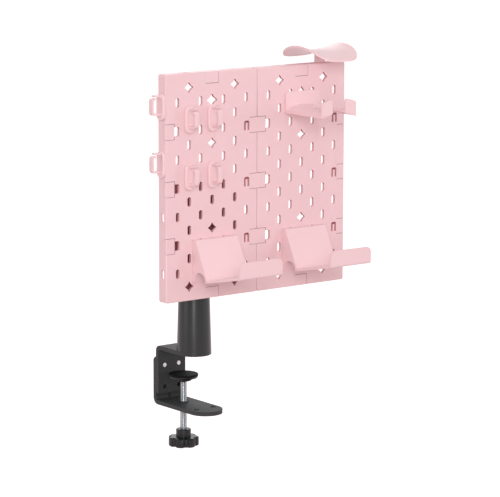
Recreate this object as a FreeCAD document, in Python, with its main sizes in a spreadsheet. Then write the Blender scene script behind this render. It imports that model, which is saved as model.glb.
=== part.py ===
"""Clamp-on pegboard desk organizer, as a parametric FreeCAD document.

Frame: origin on the underside of the upper jaw, on the axis of the clamp screw.
+X runs along the board, -Y is the board's front, +Z is up. Sizes are in millimetres.
"""
import FreeCAD, Part
import math
import os
import Sketcher

V = FreeCAD.Vector
doc = FreeCAD.newDocument("pegboard_organizer")

# ---------------------------------------------------------------- driving dimensions
SIZES = {
    # slotted panels
    "pitch": 40.0,
    "panel_wide": 160.0,
    "panel_tall": 320.0,
    "panel_deep": 17.0,
    "face_thick": 4.0,
    "wall_thick": 2.6,
    "corner_round": 3.5,
    "edge_round": 1.6,
    "slot_wide": 6.0,
    "slot_tall": 13.4,
    "cross_small": 7.1,
    "cross_big": 8.7,
    "side_slot_depth": 8.5,
    "recess_tall": 22.4,
    "recess_left": 15.2,
    "recess_right": 13.8,
    "inlay_gap": 0.5,
    "recess_end": 23.0,
    "recess_drop": 16.4,
    "recess_deep": 0.8,
    "recess_wrap": 5.5,
    "tongue_slit": 3.0,
    "tongue_wide": 9.2,
    "tongue_deep": 3.2,
    "boss_radius": 4.5,
    "boss_bore": 1.6,
    "rib_thick": 1.6,
    "rib_tall": 5.0,
    # where the board stands
    "board_front": -69.0,
    "board_bottom": 88.0,
    # clamp
    "steel": 6.0,
    "jaw_wide": 48.6,
    "nose_radius": 22.2,
    "foot_radius": 24.3,
    "pole_back": -26.0,
    "upright_front": 28.0,
    "upper_drop": 66.0,
    "lower_top": 12.5,
    "foot_top": 75.2,
    "foot_centre": -53.0,
    "bend_outer": 8.5,
    "bend_inner": 2.5,
    "screw_apart": 25.0,
    "screw_row": 24.0,
    "screw_next": 32.0,
    "foot_bend_outer": 10.0,
    "foot_bend_inner": 4.0,
    "insert_radius": 6.5,
    "insert_flange": 7.5,
    "insert_rise": 1.6,
    "bend_hole": 2.9,
    "bend_hole_rise": 3.8,
    "foot_hole": 4.2,
    "foot_hole_across": 14.7,
    "foot_hole_front": -51.0,
    # fasteners: radii of shanks, heads and holes
    "m6": 6.0,
    "m6_clear": 3.4,
    "m6_head": 5.0,
    "m6_head_tall": 6.0,
    "m6_socket": 2.9,
    "m4_shank": 2.0,
    "m4_tap": 2.05,
    "m4_clear": 2.35,
    "m4_head": 3.6,
    "m4_seat": 4.0,
    "m4_sink": 2.8,
    "driver_slot": 1.0,
    "bolt_shank": 2.2,
    "bolt_head": 4.2,
    "bolt_head_tall": 2.2,
    "bolt_nut": 3.6,
    "bolt_nut_tall": 2.4,
    # pole
    "pole_foot_radius": 24.9,
    "pole_top_radius": 18.7,
    "pole_top": 214.0,
    "pole_wall": 2.2,
    "post_radius": 14.0,
    "post_bore": 9.5,
    "spigot_radius": 11.0,
    "post_shoulder": 216.0,
    "spigot_tall": 40.0,
    "flange_radius": 20.0,
    "flange_thick": 5.0,
    "post_screw_ring": 17.0,
    # swivel head and board plate
    "hub_radius": 16.5,
    "hub_tall": 38.0,
    "running_gap": 0.05,
    "washer_thick": 1.5,
    "plate_wide": 120.0,
    "plate_tall": 160.0,
    "plate_thick": 3.0,
    "plate_round": 8.0,
    "head_flange": 5.0,
    "head_screw_across": 22.0,
    "head_screw_inset": 7.0,
    "head_bolt_reach": 9.8,
    # clamp screw
    "rod_radius": 5.0,
    "rod_top": -36.9,
    "knob_top": -114.7,
    "knob_hub_radius": 10.8,
    "knob_hub_tall": 11.3,
    "knob_radius": 22.2,
    "knob_tall": 13.2,
    "knob_lobes": 7.0,
    "knob_notch": 3.4,
    "pad_radius": 21.4,
    "pad_top": -33.2,
    "pad_thick": 3.6,
    "pad_face_thick": 2.4,
    "pad_hub_radius": 11.8,
    "pad_hub_tall": 4.2,
    # hooks
    "hook_wide": 17.0,
    "hook_tall": 38.0,
    "hook_thick": 3.0,
    "hook_base": 4.0,
    "hook_drop": 5.0,
    "hook_strip": 7.4,
    "hook_reach": 19.5,
    "loop_low": -16.2,
    "loop_high": 8.0,
    "peg_wide": 5.0,
    "peg_low": -5.1,
    "peg_tall": 5.6,
    "peg_fall": 4.4,
    "peg_thick": 2.5,
    "seat_gap": 0.25,
    # controller cradle
    "cradle_wide": 62.0,
    "cradle_back_tall": 31.8,
    "cradle_reach": 84.0,
    "cradle_arch": 77.0,
    "cradle_thick": 4.4,
    "cradle_gap": 23.0,
    "cradle_gap_deep": 54.0,
    "cradle_lip_tall": 16.0,
    "cradle_lip_foot": 5.2,
    "lip_thick": 3.5,
    "cradle_low": -29.0,
    "cradle_peak": -16.2,
    # headphone rest
    "rest_half_wide": 41.0,
    "rest_half_long": 54.0,
    "rest_radius": 88.0,
    "rest_thick": 2.8,
    "rest_dip": 8.0,
    "rest_rise": 26.3,
    "rest_stem_wide": 18.0,
    "rest_stem_thick": 3.2,
    "rest_square": 3.2,
    "tenon_deep": 14.0,
    # phone holders
    "phone_wide": 74.0,
    "phone_tall": 57.7,
    "phone_lean": 31.8,
    "phone_ledge": 75.6,
    "phone_ledge_rise": 15.9,
    "phone_high": 6.0,
    "phone_shift": 2.0,
    "phone_notch": 13.0,
    "phone_lip": 22.5,
    "phone_wall": 3.6,
}

sheet = doc.addObject("Spreadsheet::Sheet", "dims")
for row, (alias, size) in enumerate(SIZES.items(), start=1):
    sheet.set("A%d" % row, alias)
    sheet.set("B%d" % row, str(size))
    sheet.setAlias("B%d" % row, alias)
doc.recompute()


def val(alias):
    """The sheet's value of one driving dimension, in millimetres."""
    return float(sheet.get(alias))


# ---------------------------------------------------------------- drawing helpers
def new_body(label):
    """An empty PartDesign body that carries the sub-part's name."""
    body = doc.addObject("PartDesign::Body", label)
    body.Label = label
    return body


def on_plane(body, role, name, offset=None, turn=None):
    """A sketch on one of the body's own origin planes, moved off it where asked."""
    plane = [p for p in body.Origin.OriginFeatures if p.Role == role][0]
    sketch = body.newObject("Sketcher::SketchObject", body.Name + "_" + name)
    sketch.AttachmentSupport = [(plane, "")]
    sketch.MapMode = "FlatFace"
    rotation = FreeCAD.Rotation(*turn) if turn else FreeCAD.Rotation()
    sketch.AttachmentOffset = FreeCAD.Placement(offset or V(0, 0, 0), rotation)
    return sketch


def rectangle(sketch, low_x, low_y, wide, tall, wide_size=None, tall_size=None):
    """Four tied lines; a size named in the sheet drives the width or the height."""
    corners = [V(low_x, low_y), V(low_x + wide, low_y), V(low_x + wide, low_y + tall), V(low_x, low_y + tall)]
    first = sketch.GeometryCount
    for i in range(4):
        sketch.addGeometry(Part.LineSegment(corners[i], corners[(i + 1) % 4]), False)
    for i in range(4):
        sketch.addConstraint(Sketcher.Constraint("Coincident", first + i, 2, first + (i + 1) % 4, 1))
    for i in (0, 2):
        sketch.addConstraint(Sketcher.Constraint("Horizontal", first + i))
        sketch.addConstraint(Sketcher.Constraint("Vertical", first + i + 1))
    across = sketch.addConstraint(Sketcher.Constraint("DistanceX", first, 1, first, 2, wide))
    up = sketch.addConstraint(Sketcher.Constraint("DistanceY", first + 1, 1, first + 1, 2, tall))
    sketch.addConstraint(Sketcher.Constraint("DistanceX", -1, 1, first, 1, low_x))
    sketch.addConstraint(Sketcher.Constraint("DistanceY", -1, 1, first, 1, low_y))
    if wide_size:
        sketch.setExpression("Constraints[%d]" % across, wide_size)
    if tall_size:
        sketch.setExpression("Constraints[%d]" % up, tall_size)


def circle(sketch, x, y, radius, size=None):
    """A circle tied to the origin; a size named in the sheet drives the radius."""
    index = sketch.addGeometry(Part.Circle(V(x, y), V(0, 0, 1), radius), False)
    sketch.addConstraint(Sketcher.Constraint("DistanceX", -1, 1, index, 3, x))
    sketch.addConstraint(Sketcher.Constraint("DistanceY", -1, 1, index, 3, y))
    round_size = sketch.addConstraint(Sketcher.Constraint("Radius", index, radius))
    if size:
        sketch.setExpression("Constraints[%d]" % round_size, size)


def outline(sketch, points):
    """A closed outline of straight lines through the points."""
    first = sketch.GeometryCount
    count = len(points)
    for i in range(count):
        start, end = points[i], points[(i + 1) % count]
        sketch.addGeometry(Part.LineSegment(V(*start), V(*end)), False)
    for i in range(count):
        sketch.addConstraint(Sketcher.Constraint("Coincident", first + i, 2, first + (i + 1) % count, 1))


def hexagon(sketch, x, y, reach):
    """A six-sided outline; reach is from its middle to a corner."""
    turns = [k * math.pi / 3 for k in range(6)]
    outline(sketch, [(x + reach * math.cos(turn), y + reach * math.sin(turn)) for turn in turns])


def driver_slot(sketch, x, y, head):
    """The straight slot across a screw's head."""
    slot = val("driver_slot")
    rectangle(sketch, x - head - 0.4, y - slot / 2, 2 * head + 0.8, slot)


def stadium(sketch, x, y, wide, tall):
    """An upright slot outline: two straight sides and two round ends (or lying, if wide > tall)."""
    radius = min(wide, tall) / 2
    run = abs(tall - wide) / 2
    if tall >= wide:
        a, b, along = V(x, y - run), V(x, y + run), V(radius, 0)
        start = 0.0
    else:
        a, b, along = V(x + run, y), V(x - run, y), V(0, radius)
        start = math.pi / 2
    sketch.addGeometry(Part.LineSegment(a + along, b + along), False)
    sketch.addGeometry(Part.ArcOfCircle(Part.Circle(b, V(0, 0, 1), radius), start, start + math.pi), False)
    sketch.addGeometry(Part.LineSegment(b - along, a - along), False)
    end = start + math.pi
    sketch.addGeometry(Part.ArcOfCircle(Part.Circle(a, V(0, 0, 1), radius), end, end + math.pi), False)


def pad(body, sketch, length, size=None, middle=False, back=False):
    """Grow a sketch into the body; the sheet drives the length where a size is named."""
    feature = body.newObject("PartDesign::Pad", sketch.Name + "_pad")
    feature.Profile = sketch
    feature.Refine = False
    feature.Length = length
    feature.Midplane = middle
    feature.Reversed = back
    if size:
        feature.setExpression("Length", size)
    doc.recompute()
    return feature


def pocket(body, sketch, length, size=None, middle=False, back=False, through=False):
    """Cut a sketch out of the body and check that it took something away."""
    before = body.Shape.Volume
    feature = body.newObject("PartDesign::Pocket", sketch.Name + "_cut")
    feature.Profile = sketch
    feature.Refine = False
    feature.Type = "ThroughAll" if through else "Length"
    feature.Length = length
    feature.Midplane = middle
    feature.Reversed = back
    if size:
        feature.setExpression("Length", size)
    doc.recompute()
    if not feature.Shape.Volume < before - 1e-3:
        raise RuntimeError("pocket cut nothing: " + feature.Name)
    return feature


def repeat(body, feature, role, gap, count):
    """Repeat a feature in a straight row along one of the body's own axes."""
    before = body.Shape.Volume
    many = body.newObject("PartDesign::MultiTransform", feature.Name + "_rows")
    step = body.newObject("PartDesign::LinearPattern", many.Name + "_" + role)
    axis = [a for a in body.Origin.OriginFeatures if a.Role == role][0]
    step.Direction = (axis, [""])
    step.Length = abs(gap) * (count - 1)
    step.Occurrences = count
    step.Reversed = gap < 0
    many.Refine = False
    many.Originals = [feature]
    many.Transformations = [step]
    body.Tip = many
    doc.recompute()
    if abs(many.Shape.Volume - before) < 1e-3:
        raise RuntimeError("pattern changed nothing: " + many.Name)
    return many


def revolve(body, sketch, groove=False):
    """Turn a half profile about the sketch's vertical axis."""
    kind = "PartDesign::Groove" if groove else "PartDesign::Revolution"
    feature = body.newObject(kind, sketch.Name + "_turn")
    feature.Profile = sketch
    feature.Refine = False
    feature.ReferenceAxis = (sketch, ["V_Axis"])
    feature.Angle = 360
    doc.recompute()
    return feature


def dress(body, kind, edges, size, alias=None):
    """Round or chamfer named edges of the body's tip."""
    base = body.Tip
    feature = body.newObject("PartDesign::" + kind, body.Name + "_" + kind.lower())
    feature.Base = (base, edges)
    if kind == "Fillet":
        feature.Radius = size
        if alias:
            feature.setExpression("Radius", alias)
    else:
        feature.Size = size
    doc.recompute()
    return feature


def edges_where(shape, test):
    """Names of the edges whose middle point passes the test."""
    names = []
    for i, edge in enumerate(shape.Edges, start=1):
        middle = edge.valueAt((edge.FirstParameter + edge.LastParameter) / 2)
        if test(edge, middle):
            names.append("Edge%d" % i)
    return names


def place(part, x, y, z, axis=None, angle=0.0):
    """Put a finished sub-part where it belongs."""
    rotation = FreeCAD.Rotation(axis, angle) if axis else FreeCAD.Rotation()
    part.Placement = FreeCAD.Placement(V(x, y, z), rotation)


parts = []


def keep(part):
    """Put a finished sub-part on the list of what is written."""
    parts.append(part)
    return part


# ---------------------------------------------------------------- places worked out once
pitch = val("pitch")
front = val("board_front")
back = front + val("panel_deep")
bottom = val("board_bottom")
top = bottom + val("panel_tall")
left_edge = -val("panel_wide") / 2
seam = left_edge + val("panel_wide")
right_edge = seam + val("panel_wide")
pole_y = val("pole_back")


def row_height(v):
    """Height of hole row v, counted in pitches down from the board's top."""
    return top - v * pitch


def column_place(u):
    """Place of hole column u, counted in pitches from the board's left edge."""
    return left_edge + u * pitch


# ---------------------------------------------------------------- panels
def cross_outline(sketch, x, y, reach):
    """A four-lobed hole: a square standing on its corner, with blunt tips and sides that bow in."""
    blunt = 0.18 * reach
    bow = 0.06 * reach
    tips = []
    for i in range(4):
        angle = math.pi / 2 * i
        tip = V(math.cos(angle), math.sin(angle))
        side = V(-math.sin(angle), math.cos(angle))
        tips.append((tip, side))
    for i in range(4):
        tip, side = tips[i]
        next_tip, next_side = tips[(i + 1) % 4]
        low = V(x, y) + tip * (reach - blunt) - side * blunt
        high = V(x, y) + tip * (reach - blunt) + side * blunt
        peak = V(x, y) + tip * reach
        sketch.addGeometry(Part.Arc(low, peak, high), False)
        far = V(x, y) + next_tip * (reach - blunt) - next_side * blunt
        middle = (high + far) * 0.5
        inward = V(x, y) - middle
        inward.normalize()
        sketch.addGeometry(Part.Arc(high, middle + inward * bow, far), False)


def cut_rows(body, name, draw, gap, count, through):
    """Cut one row of holes through the panel's face and repeat it down the panel."""
    sketch = on_plane(body, "XZ_Plane", name)
    draw(sketch)
    cut = pocket(body, sketch, through)
    if count > 1:
        repeat(body, cut, "Z_Axis", -gap, count)


def build_panel(label):
    """One moulded tray: slotted face, side walls with slots, clip recesses, bosses and ribs."""
    wide, tall, deep = val("panel_wide"), val("panel_tall"), val("panel_deep")
    face, wall = val("face_thick"), val("wall_thick")
    slot_wide, slot_tall = val("slot_wide"), val("slot_tall")
    body = new_body(label)

    # a sketch on the body's XZ plane has X across and Z up, and looks along -Y
    blank = on_plane(body, "XZ_Plane", "blank")
    rectangle(blank, 0, -tall, wide, tall, "dims.panel_wide", "dims.panel_tall")
    pad(body, blank, deep, "dims.panel_deep", back=True)
    uprights = edges_where(body.Shape, lambda e, m: abs(m.y - deep / 2) < 0.1)
    dress(body, "Fillet", uprights, val("corner_round"), "dims.corner_round")
    front_edges = edges_where(body.Shape, lambda e, m: abs(m.y) < 1e-4)
    dress(body, "Fillet", front_edges, val("edge_round"), "dims.edge_round")

    tray = on_plane(body, "XZ_Plane", "tray", V(0, 0, -face))
    rectangle(tray, wall, -tall + wall, wide - 2 * wall, tall - 2 * wall)
    pocket(body, tray, deep - face, "dims.panel_deep - dims.face_thick")

    # stiffening ribs stand between the hole columns
    ribs = on_plane(body, "XZ_Plane", "ribs", V(0, 0, -face))
    rib = val("rib_thick")
    for rib_x in (0.75 * pitch, 1.7 * pitch, 2.3 * pitch, 3.25 * pitch):
        rectangle(ribs, rib_x - rib / 2, -tall + wall, rib, tall - 2 * wall, "dims.rib_thick")
    pad(body, ribs, val("rib_tall"), "dims.rib_tall", back=True)

    # slots in the side walls and in the top and bottom walls
    side = on_plane(body, "YZ_Plane", "side_slot")
    stadium(side, val("side_slot_depth"), -pitch, slot_wide, slot_tall)
    side_cut = pocket(body, side, 2 * wide + 10, middle=True)
    repeat(body, side_cut, "Z_Axis", -2 * pitch, 4)
    end = on_plane(body, "XY_Plane", "end_slot")
    stadium(end, pitch, val("side_slot_depth"), slot_tall, slot_wide)
    end_cut = pocket(body, end, 2 * tall + 10, middle=True)
    repeat(body, end_cut, "X_Axis", 2 * pitch, 2)

    # screw bosses for the plate behind the board
    bosses = on_plane(body, "XZ_Plane", "bosses", V(0, 0, -face + 0.5))
    for boss_x in (pitch, 3 * pitch):
        for boss_z in (-4 * pitch, -7 * pitch):
            circle(bosses, boss_x, boss_z, val("boss_radius"), "dims.boss_radius")
    pad(body, bosses, deep - face + 0.5, "dims.panel_deep - dims.face_thick + 0.5", back=True)
    bores = on_plane(body, "XZ_Plane", "boss_bores", V(0, 0, -deep))
    for boss_x in (pitch, 3 * pitch):
        for boss_z in (-4 * pitch, -7 * pitch):
            circle(bores, boss_x, boss_z, val("boss_bore"), "dims.boss_bore")
    pocket(body, bores, deep - face - 1, back=True)

    # recesses for the inlays: three on each side edge, one on each end
    recess, wrap, half = val("recess_deep"), val("recess_wrap"), val("recess_tall") / 2
    insets = on_plane(body, "XZ_Plane", "recesses", V(0, 0, 5))
    wraps = on_plane(body, "YZ_Plane", "side_wraps", V(0, 0, -5))
    far_wraps = on_plane(body, "YZ_Plane", "far_wraps", V(0, 0, wide + 5))
    for v in (2, 4, 6):
        rectangle(insets, -5, -v * pitch - half, 5 + val("recess_left"), 2 * half)
        rectangle(insets, wide - val("recess_right"), -v * pitch - half, 5 + val("recess_right"), 2 * half)
        for sketch in (wraps, far_wraps):
            rectangle(sketch, -5, -v * pitch - half, 5 + wrap, 2 * half)
    end_half = val("recess_end") / 2
    rectangle(insets, wide / 2 - end_half, -val("recess_drop"), 2 * end_half, val("recess_drop") + 5)
    rectangle(insets, wide / 2 - end_half, -tall - 5, 2 * end_half, val("recess_drop") + 5)
    pocket(body, insets, 5 + recess, "dims.recess_deep + 5")
    pocket(body, wraps, 5 + recess, "dims.recess_deep + 5", back=True)
    pocket(body, far_wraps, 5 + recess, "dims.recess_deep + 5")
    ends = on_plane(body, "XY_Plane", "end_wraps", V(0, 0, 5))
    rectangle(ends, wide / 2 - end_half, -5, 2 * end_half, 5 + wrap)
    pocket(body, ends, 5 + recess, "dims.recess_deep + 5")
    low_ends = on_plane(body, "XY_Plane", "low_end_wraps", V(0, 0, -tall - 5))
    rectangle(low_ends, wide / 2 - end_half, -5, 2 * end_half, 5 + wrap)
    pocket(body, low_ends, 5 + recess, "dims.recess_deep + 5", back=True)

    # the face's holes: a row is drawn once and repeated down the panel
    through = face + 1
    slit, reach, rise = val("tongue_slit"), val("tongue_wide") / 2, slot_tall / 2

    def tongue(sketch, x, y):
        """A narrow arch-shaped groove, blind, open at its foot."""
        inner = reach - slit
        shape = [(-reach, -rise), (-reach, rise, 3.0), (reach, rise, 3.0), (reach, -rise),
                 (inner, -rise), (inner, rise - slit, 1.2), (-inner, rise - slit, 1.2), (-inner, -rise)]
        rounded(sketch, [(x + c[0], y + c[1]) + c[2:] for c in shape])

    def odd_row(sketch):
        for u in (0.5, 1.5, 2.5, 3.5):
            stadium(sketch, u * pitch, -pitch, slot_wide, slot_tall)

    def even_row(sketch):
        open_left, far = val("recess_left") - 0.2, 0.5 * pitch + slot_wide / 2
        rounded(sketch, [(open_left, -2 * pitch - rise), (far, -2 * pitch - rise, 2.9),
                         (far, -2 * pitch + rise, 2.9), (open_left, -2 * pitch + rise)])
        stadium(sketch, 1.5 * pitch, -2 * pitch, slot_wide, slot_tall)
        stadium(sketch, 2.5 * pitch, -2 * pitch, slot_wide, slot_tall)

    def tongue_row(sketch):
        tongue(sketch, 3.525 * pitch, -2 * pitch)

    def between_row(sketch):
        stadium(sketch, pitch, -1.5 * pitch, slot_wide, slot_tall)
        stadium(sketch, 3 * pitch, -1.5 * pitch, slot_wide, slot_tall)

    def middle_column(sketch):
        for v in (1.5, 3.5, 4.5, 6.5):
            stadium(sketch, 2 * pitch, -v * pitch, slot_wide, slot_tall)
        for u, v in ((1, 0.5), (3, 0.5), (1, 7.5), (3, 7.5), (2, 2.5), (2, 5.5)):
            cross_outline(sketch, u * pitch, -v * pitch, val("cross_small"))
        for v in (1, 7):
            cross_outline(sketch, 2 * pitch, -v * pitch, val("cross_big"))

    cut_rows(body, "odd_row", odd_row, 2 * pitch, 4, through)
    cut_rows(body, "even_row", even_row, 2 * pitch, 3, through)
    cut_rows(body, "tongue_row", tongue_row, 2 * pitch, 3, val("tongue_deep"))
    cut_rows(body, "between_row", between_row, pitch, 6, through)
    cut_rows(body, "middle_column", middle_column, 0, 1, through)

    return body


def twin(label, first):
    """A second body with the same shape as the first, from the same mould."""
    body = doc.addObject("PartDesign::Body", label)
    body.Label = label
    body.BaseFeature = first
    doc.recompute()
    return body


def rounded(sketch, corners):
    """A closed outline through (x, y, radius) corners; a radius above nothing rounds that corner."""
    legs = []
    count = len(corners)
    for i in range(count):
        here = V(corners[i][0], corners[i][1])
        before = V(*corners[i - 1][:2]) - here
        after = V(*corners[(i + 1) % count][:2]) - here
        radius = corners[i][2] if len(corners[i]) > 2 else 0
        if radius <= 0:
            legs.append((here, None, here))
            continue
        half = before.getAngle(after) / 2
        before.normalize()
        after.normalize()
        reach = radius / math.tan(half)
        middle = before + after
        middle.normalize()
        nearest = here + middle * (radius / math.sin(half) - radius)
        legs.append((here + before * reach, nearest, here + after * reach))
    for i in range(count):
        start, nearest, end = legs[i]
        if nearest is not None:
            sketch.addGeometry(Part.Arc(start, nearest, end), False)
        following = legs[(i + 1) % count][0]
        if end.distanceToPoint(following) > 1e-6:
            sketch.addGeometry(Part.LineSegment(end, following), False)


# ---------------------------------------------------------------- clips and bolts along the seam
def build_clip(label, centre_z):
    """An inlay that lies in the recess across the seam; its web stands in the gap between the panels."""
    body = new_body(label)
    gap, half = val("inlay_gap"), val("recess_tall") / 2
    inlay = on_plane(body, "XZ_Plane", "inlay")
    low, high = -val("recess_right"), val("recess_left") - gap
    rounded(inlay, [(low, gap - half), (high, gap - half, 0.6), (high, half - gap, 0.6), (low, half - gap)])
    pad(body, inlay, val("recess_deep"), "dims.recess_deep", back=True)
    web = on_plane(body, "XZ_Plane", "web")
    rectangle(web, 0.2 - val("recess_deep"), gap - half, 2 * val("recess_deep") - 0.4, 2 * (half - gap))
    pad(body, web, val("recess_wrap") - gap, "dims.recess_wrap - dims.inlay_gap", back=True)
    place(body, seam, front, centre_z)
    return keep(body)


def build_cap(label, panel_x, side, v=0):
    """A blank inlay that fills one recess at the board's outer edge and bends round that edge."""
    body = new_body(label)
    gap, half, thin = val("inlay_gap"), val("recess_tall") / 2, val("recess_deep")
    wide, tall, leg = val("panel_wide"), val("panel_tall"), val("recess_wrap") - gap
    end_half, drop, bend = val("recess_end") / 2, val("recess_drop") - gap, val("edge_round")
    if side in ("left", "right"):
        outer, inward = (0.0, 1.0) if side == "left" else (wide, -1.0)
        long = val("recess_left") - gap if side == "left" else val("recess_right")
        section = on_plane(body, "XY_Plane", "section", V(0, 0, -v * pitch - half + gap))
        rounded(section, [(outer, 0, bend), (outer + inward * long, 0), (outer + inward * long, thin),
                          (outer + inward * thin, thin), (outer + inward * thin, leg), (outer, leg)])
        pad(body, section, 2 * (half - gap), "dims.recess_tall - 2 * dims.inlay_gap")
    else:
        outer, inward = (0.0, -1.0) if side == "top" else (-tall, 1.0)
        section = on_plane(body, "YZ_Plane", "section", V(0, 0, wide / 2 - end_half))
        rounded(section, [(0, outer, bend), (0, outer + inward * drop), (thin, outer + inward * drop),
                          (thin, outer + inward * thin), (leg, outer + inward * thin), (leg, outer)])
        pad(body, section, 2 * end_half - gap, "dims.recess_end - dims.inlay_gap")
    place(body, panel_x, front, top)
    return keep(body)


def build_seam_bolt(label, centre_z):
    """A short bolt with wide heads that holds two side walls together through their slots."""
    body = new_body(label)
    wall, head_tall = val("wall_thick"), val("bolt_head_tall")
    under = wall + 0.2
    for name, alias, low, size in (("shank", "bolt_shank", -under, 2 * under),
                                   ("head", "bolt_head", -under - head_tall, head_tall),
                                   ("nut_washer", "bolt_head", under, head_tall)):
        disc = on_plane(body, "YZ_Plane", name, V(0, 0, low))
        circle(disc, 0, 0, val(alias), "dims." + alias)
        pad(body, disc, size)
    nut = on_plane(body, "YZ_Plane", "nut", V(0, 0, under + head_tall))
    hexagon(nut, 0, 0, val("bolt_nut"))
    pad(body, nut, val("bolt_nut_tall"), "dims.bolt_nut_tall")
    place(body, seam, front + val("side_slot_depth"), centre_z)
    return keep(body)


# ---------------------------------------------------------------- clamp brackets
def nose_cut(body, centre_y, radius):
    """Round a plate's front end: everything outside a half circle goes."""
    beyond = radius + 12
    sketch = on_plane(body, "XY_Plane", "nose")
    sketch.addGeometry(Part.Arc(V(-radius, centre_y), V(0, centre_y - radius), V(radius, centre_y)), False)
    corners = [V(radius, centre_y), V(beyond, centre_y), V(beyond, centre_y - beyond),
               V(-beyond, centre_y - beyond), V(-beyond, centre_y), V(-radius, centre_y)]
    for i in range(5):
        sketch.addGeometry(Part.LineSegment(corners[i], corners[i + 1]), False)
    pocket(body, sketch, 400, middle=True)


def build_upper_bracket():
    """Bent steel: a plate under the pole with a round nose, and an upright with four holes."""
    body = new_body("upper_bracket")
    steel, wide = val("steel"), val("jaw_wide")
    near, far = val("upright_front"), val("upright_front") + steel
    tip = pole_y - val("nose_radius")
    drop = val("upper_drop")
    profile = on_plane(body, "YZ_Plane", "profile")
    rounded(profile, [(tip - 1, 0), (near, 0, val("bend_inner")), (near, -drop), (far, -drop),
                      (far, steel, val("bend_outer")), (tip - 1, steel)])
    pad(body, profile, wide, "dims.jaw_wide", middle=True)
    nose_cut(body, pole_y, val("nose_radius"))
    corners = edges_where(body.Shape, lambda e, m: abs(m.z + drop) < 1e-4 and abs(abs(m.x) - wide / 2) < 1e-4)
    dress(body, "Fillet", corners, 3.0)
    holes = on_plane(body, "XZ_Plane", "tapped_holes", V(0, 0, -near + 1))
    apart = val("screw_apart") / 2
    for x in (-apart, apart):
        for z in (-val("screw_row"), -val("screw_row") - val("screw_next")):
            circle(holes, x, z, val("m6") / 2 + val("running_gap"), "dims.m6 / 2 + dims.running_gap")
    pocket(body, holes, steel + 2)
    seats = on_plane(body, "XY_Plane", "screw_seats", V(0, 0, -1))
    bores = on_plane(body, "XY_Plane", "screw_bores", V(0, 0, -1))
    for x, y in post_screw_places():
        circle(seats, x, y + pole_y, val("m4_seat"), "dims.m4_seat")
        circle(bores, x, y + pole_y, val("m4_clear"), "dims.m4_clear")
    pocket(body, bores, steel + 2, back=True)
    pocket(body, seats, 1 + val("m4_sink"), "dims.m4_sink + 1", back=True)
    return keep(body)


def post_screw_places():
    """The three screws that hold the post, on a circle about the pole's axis."""
    ring = val("post_screw_ring")
    turns = [math.radians(degrees) for degrees in (90, 210, 330)]
    return [(ring * math.cos(turn), ring * math.sin(turn)) for turn in turns]


def build_lower_bracket():
    """Bent steel: an upright behind the first one and a long foot that carries the clamp screw."""
    body = new_body("lower_bracket")
    steel, wide = val("steel"), val("jaw_wide")
    near = val("upright_front") + steel
    far = near + steel
    foot = -val("foot_top")
    tip = val("foot_centre") - val("foot_radius")
    rise = -val("lower_top")
    profile = on_plane(body, "YZ_Plane", "profile")
    rounded(profile, [(near, rise), (far, rise), (far, foot - steel, val("foot_bend_outer")),
                      (tip - 1, foot - steel), (tip - 1, foot), (near, foot, val("foot_bend_inner"))])
    pad(body, profile, wide, "dims.jaw_wide", middle=True)
    nose_cut(body, val("foot_centre"), val("foot_radius"))
    corners = edges_where(body.Shape, lambda e, m: abs(m.z - rise) < 1e-4 and abs(abs(m.x) - wide / 2) < 1e-4)
    dress(body, "Fillet", corners, 5.0)
    holes = on_plane(body, "XZ_Plane", "clear_holes", V(0, 0, -near + 1))
    apart = val("screw_apart") / 2
    for x in (-apart, apart):
        circle(holes, x, -val("screw_row"), val("m6_clear"), "dims.m6_clear")
    circle(holes, 0, foot + val("bend_hole_rise"), val("bend_hole"), "dims.bend_hole")
    pocket(body, holes, steel + 2)
    under = on_plane(body, "XY_Plane", "foot_holes", V(0, 0, foot + 1))
    circle(under, 0, 0, val("insert_radius") + val("running_gap"), "dims.insert_radius + dims.running_gap")
    for x in (-val("foot_hole_across"), val("foot_hole_across")):
        circle(under, x, val("foot_hole_front"), val("foot_hole"), "dims.foot_hole")
    pocket(body, under, steel + 2)
    return keep(body)


def build_bracket_screws():
    """Two socket screws from behind, their tips flush with the upright's front."""
    body = new_body("bracket_screws")
    near = val("upright_front")
    seat = near + 2 * val("steel")
    apart = val("screw_apart") / 2
    shanks = on_plane(body, "XZ_Plane", "shanks", V(0, 0, -near))
    heads = on_plane(body, "XZ_Plane", "heads", V(0, 0, -seat))
    sockets = on_plane(body, "XZ_Plane", "sockets", V(0, 0, -seat - 3))
    for x in (-apart, apart):
        circle(shanks, x, -val("screw_row"), val("m6") / 2, "dims.m6 / 2")
        circle(heads, x, -val("screw_row"), val("m6_head"), "dims.m6_head")
        hexagon(sockets, x, -val("screw_row"), val("m6_socket"))
    pad(body, heads, val("m6_head_tall"), "dims.m6_head_tall", back=True)
    pad(body, shanks, 2 * val("steel") + 0.5, back=True)
    pocket(body, sockets, 3.5)
    return keep(body)


def build_screw_insert():
    """A flanged threaded insert for the clamp screw, pressed into the foot."""
    body = new_body("screw_insert")
    foot = -val("foot_top")
    steel = val("steel")
    inner = val("rod_radius") + val("running_gap")
    outer, flange, rise = val("insert_radius"), val("insert_flange"), foot + val("insert_rise")
    half = on_plane(body, "XZ_Plane", "half")
    outline(half, [(inner, foot - steel - 0.4), (inner, rise), (flange - 0.5, rise), (flange, rise - 0.5),
                   (flange, foot), (outer, foot), (outer, foot - steel - 0.4)])
    revolve(body, half)
    return keep(body)


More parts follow.
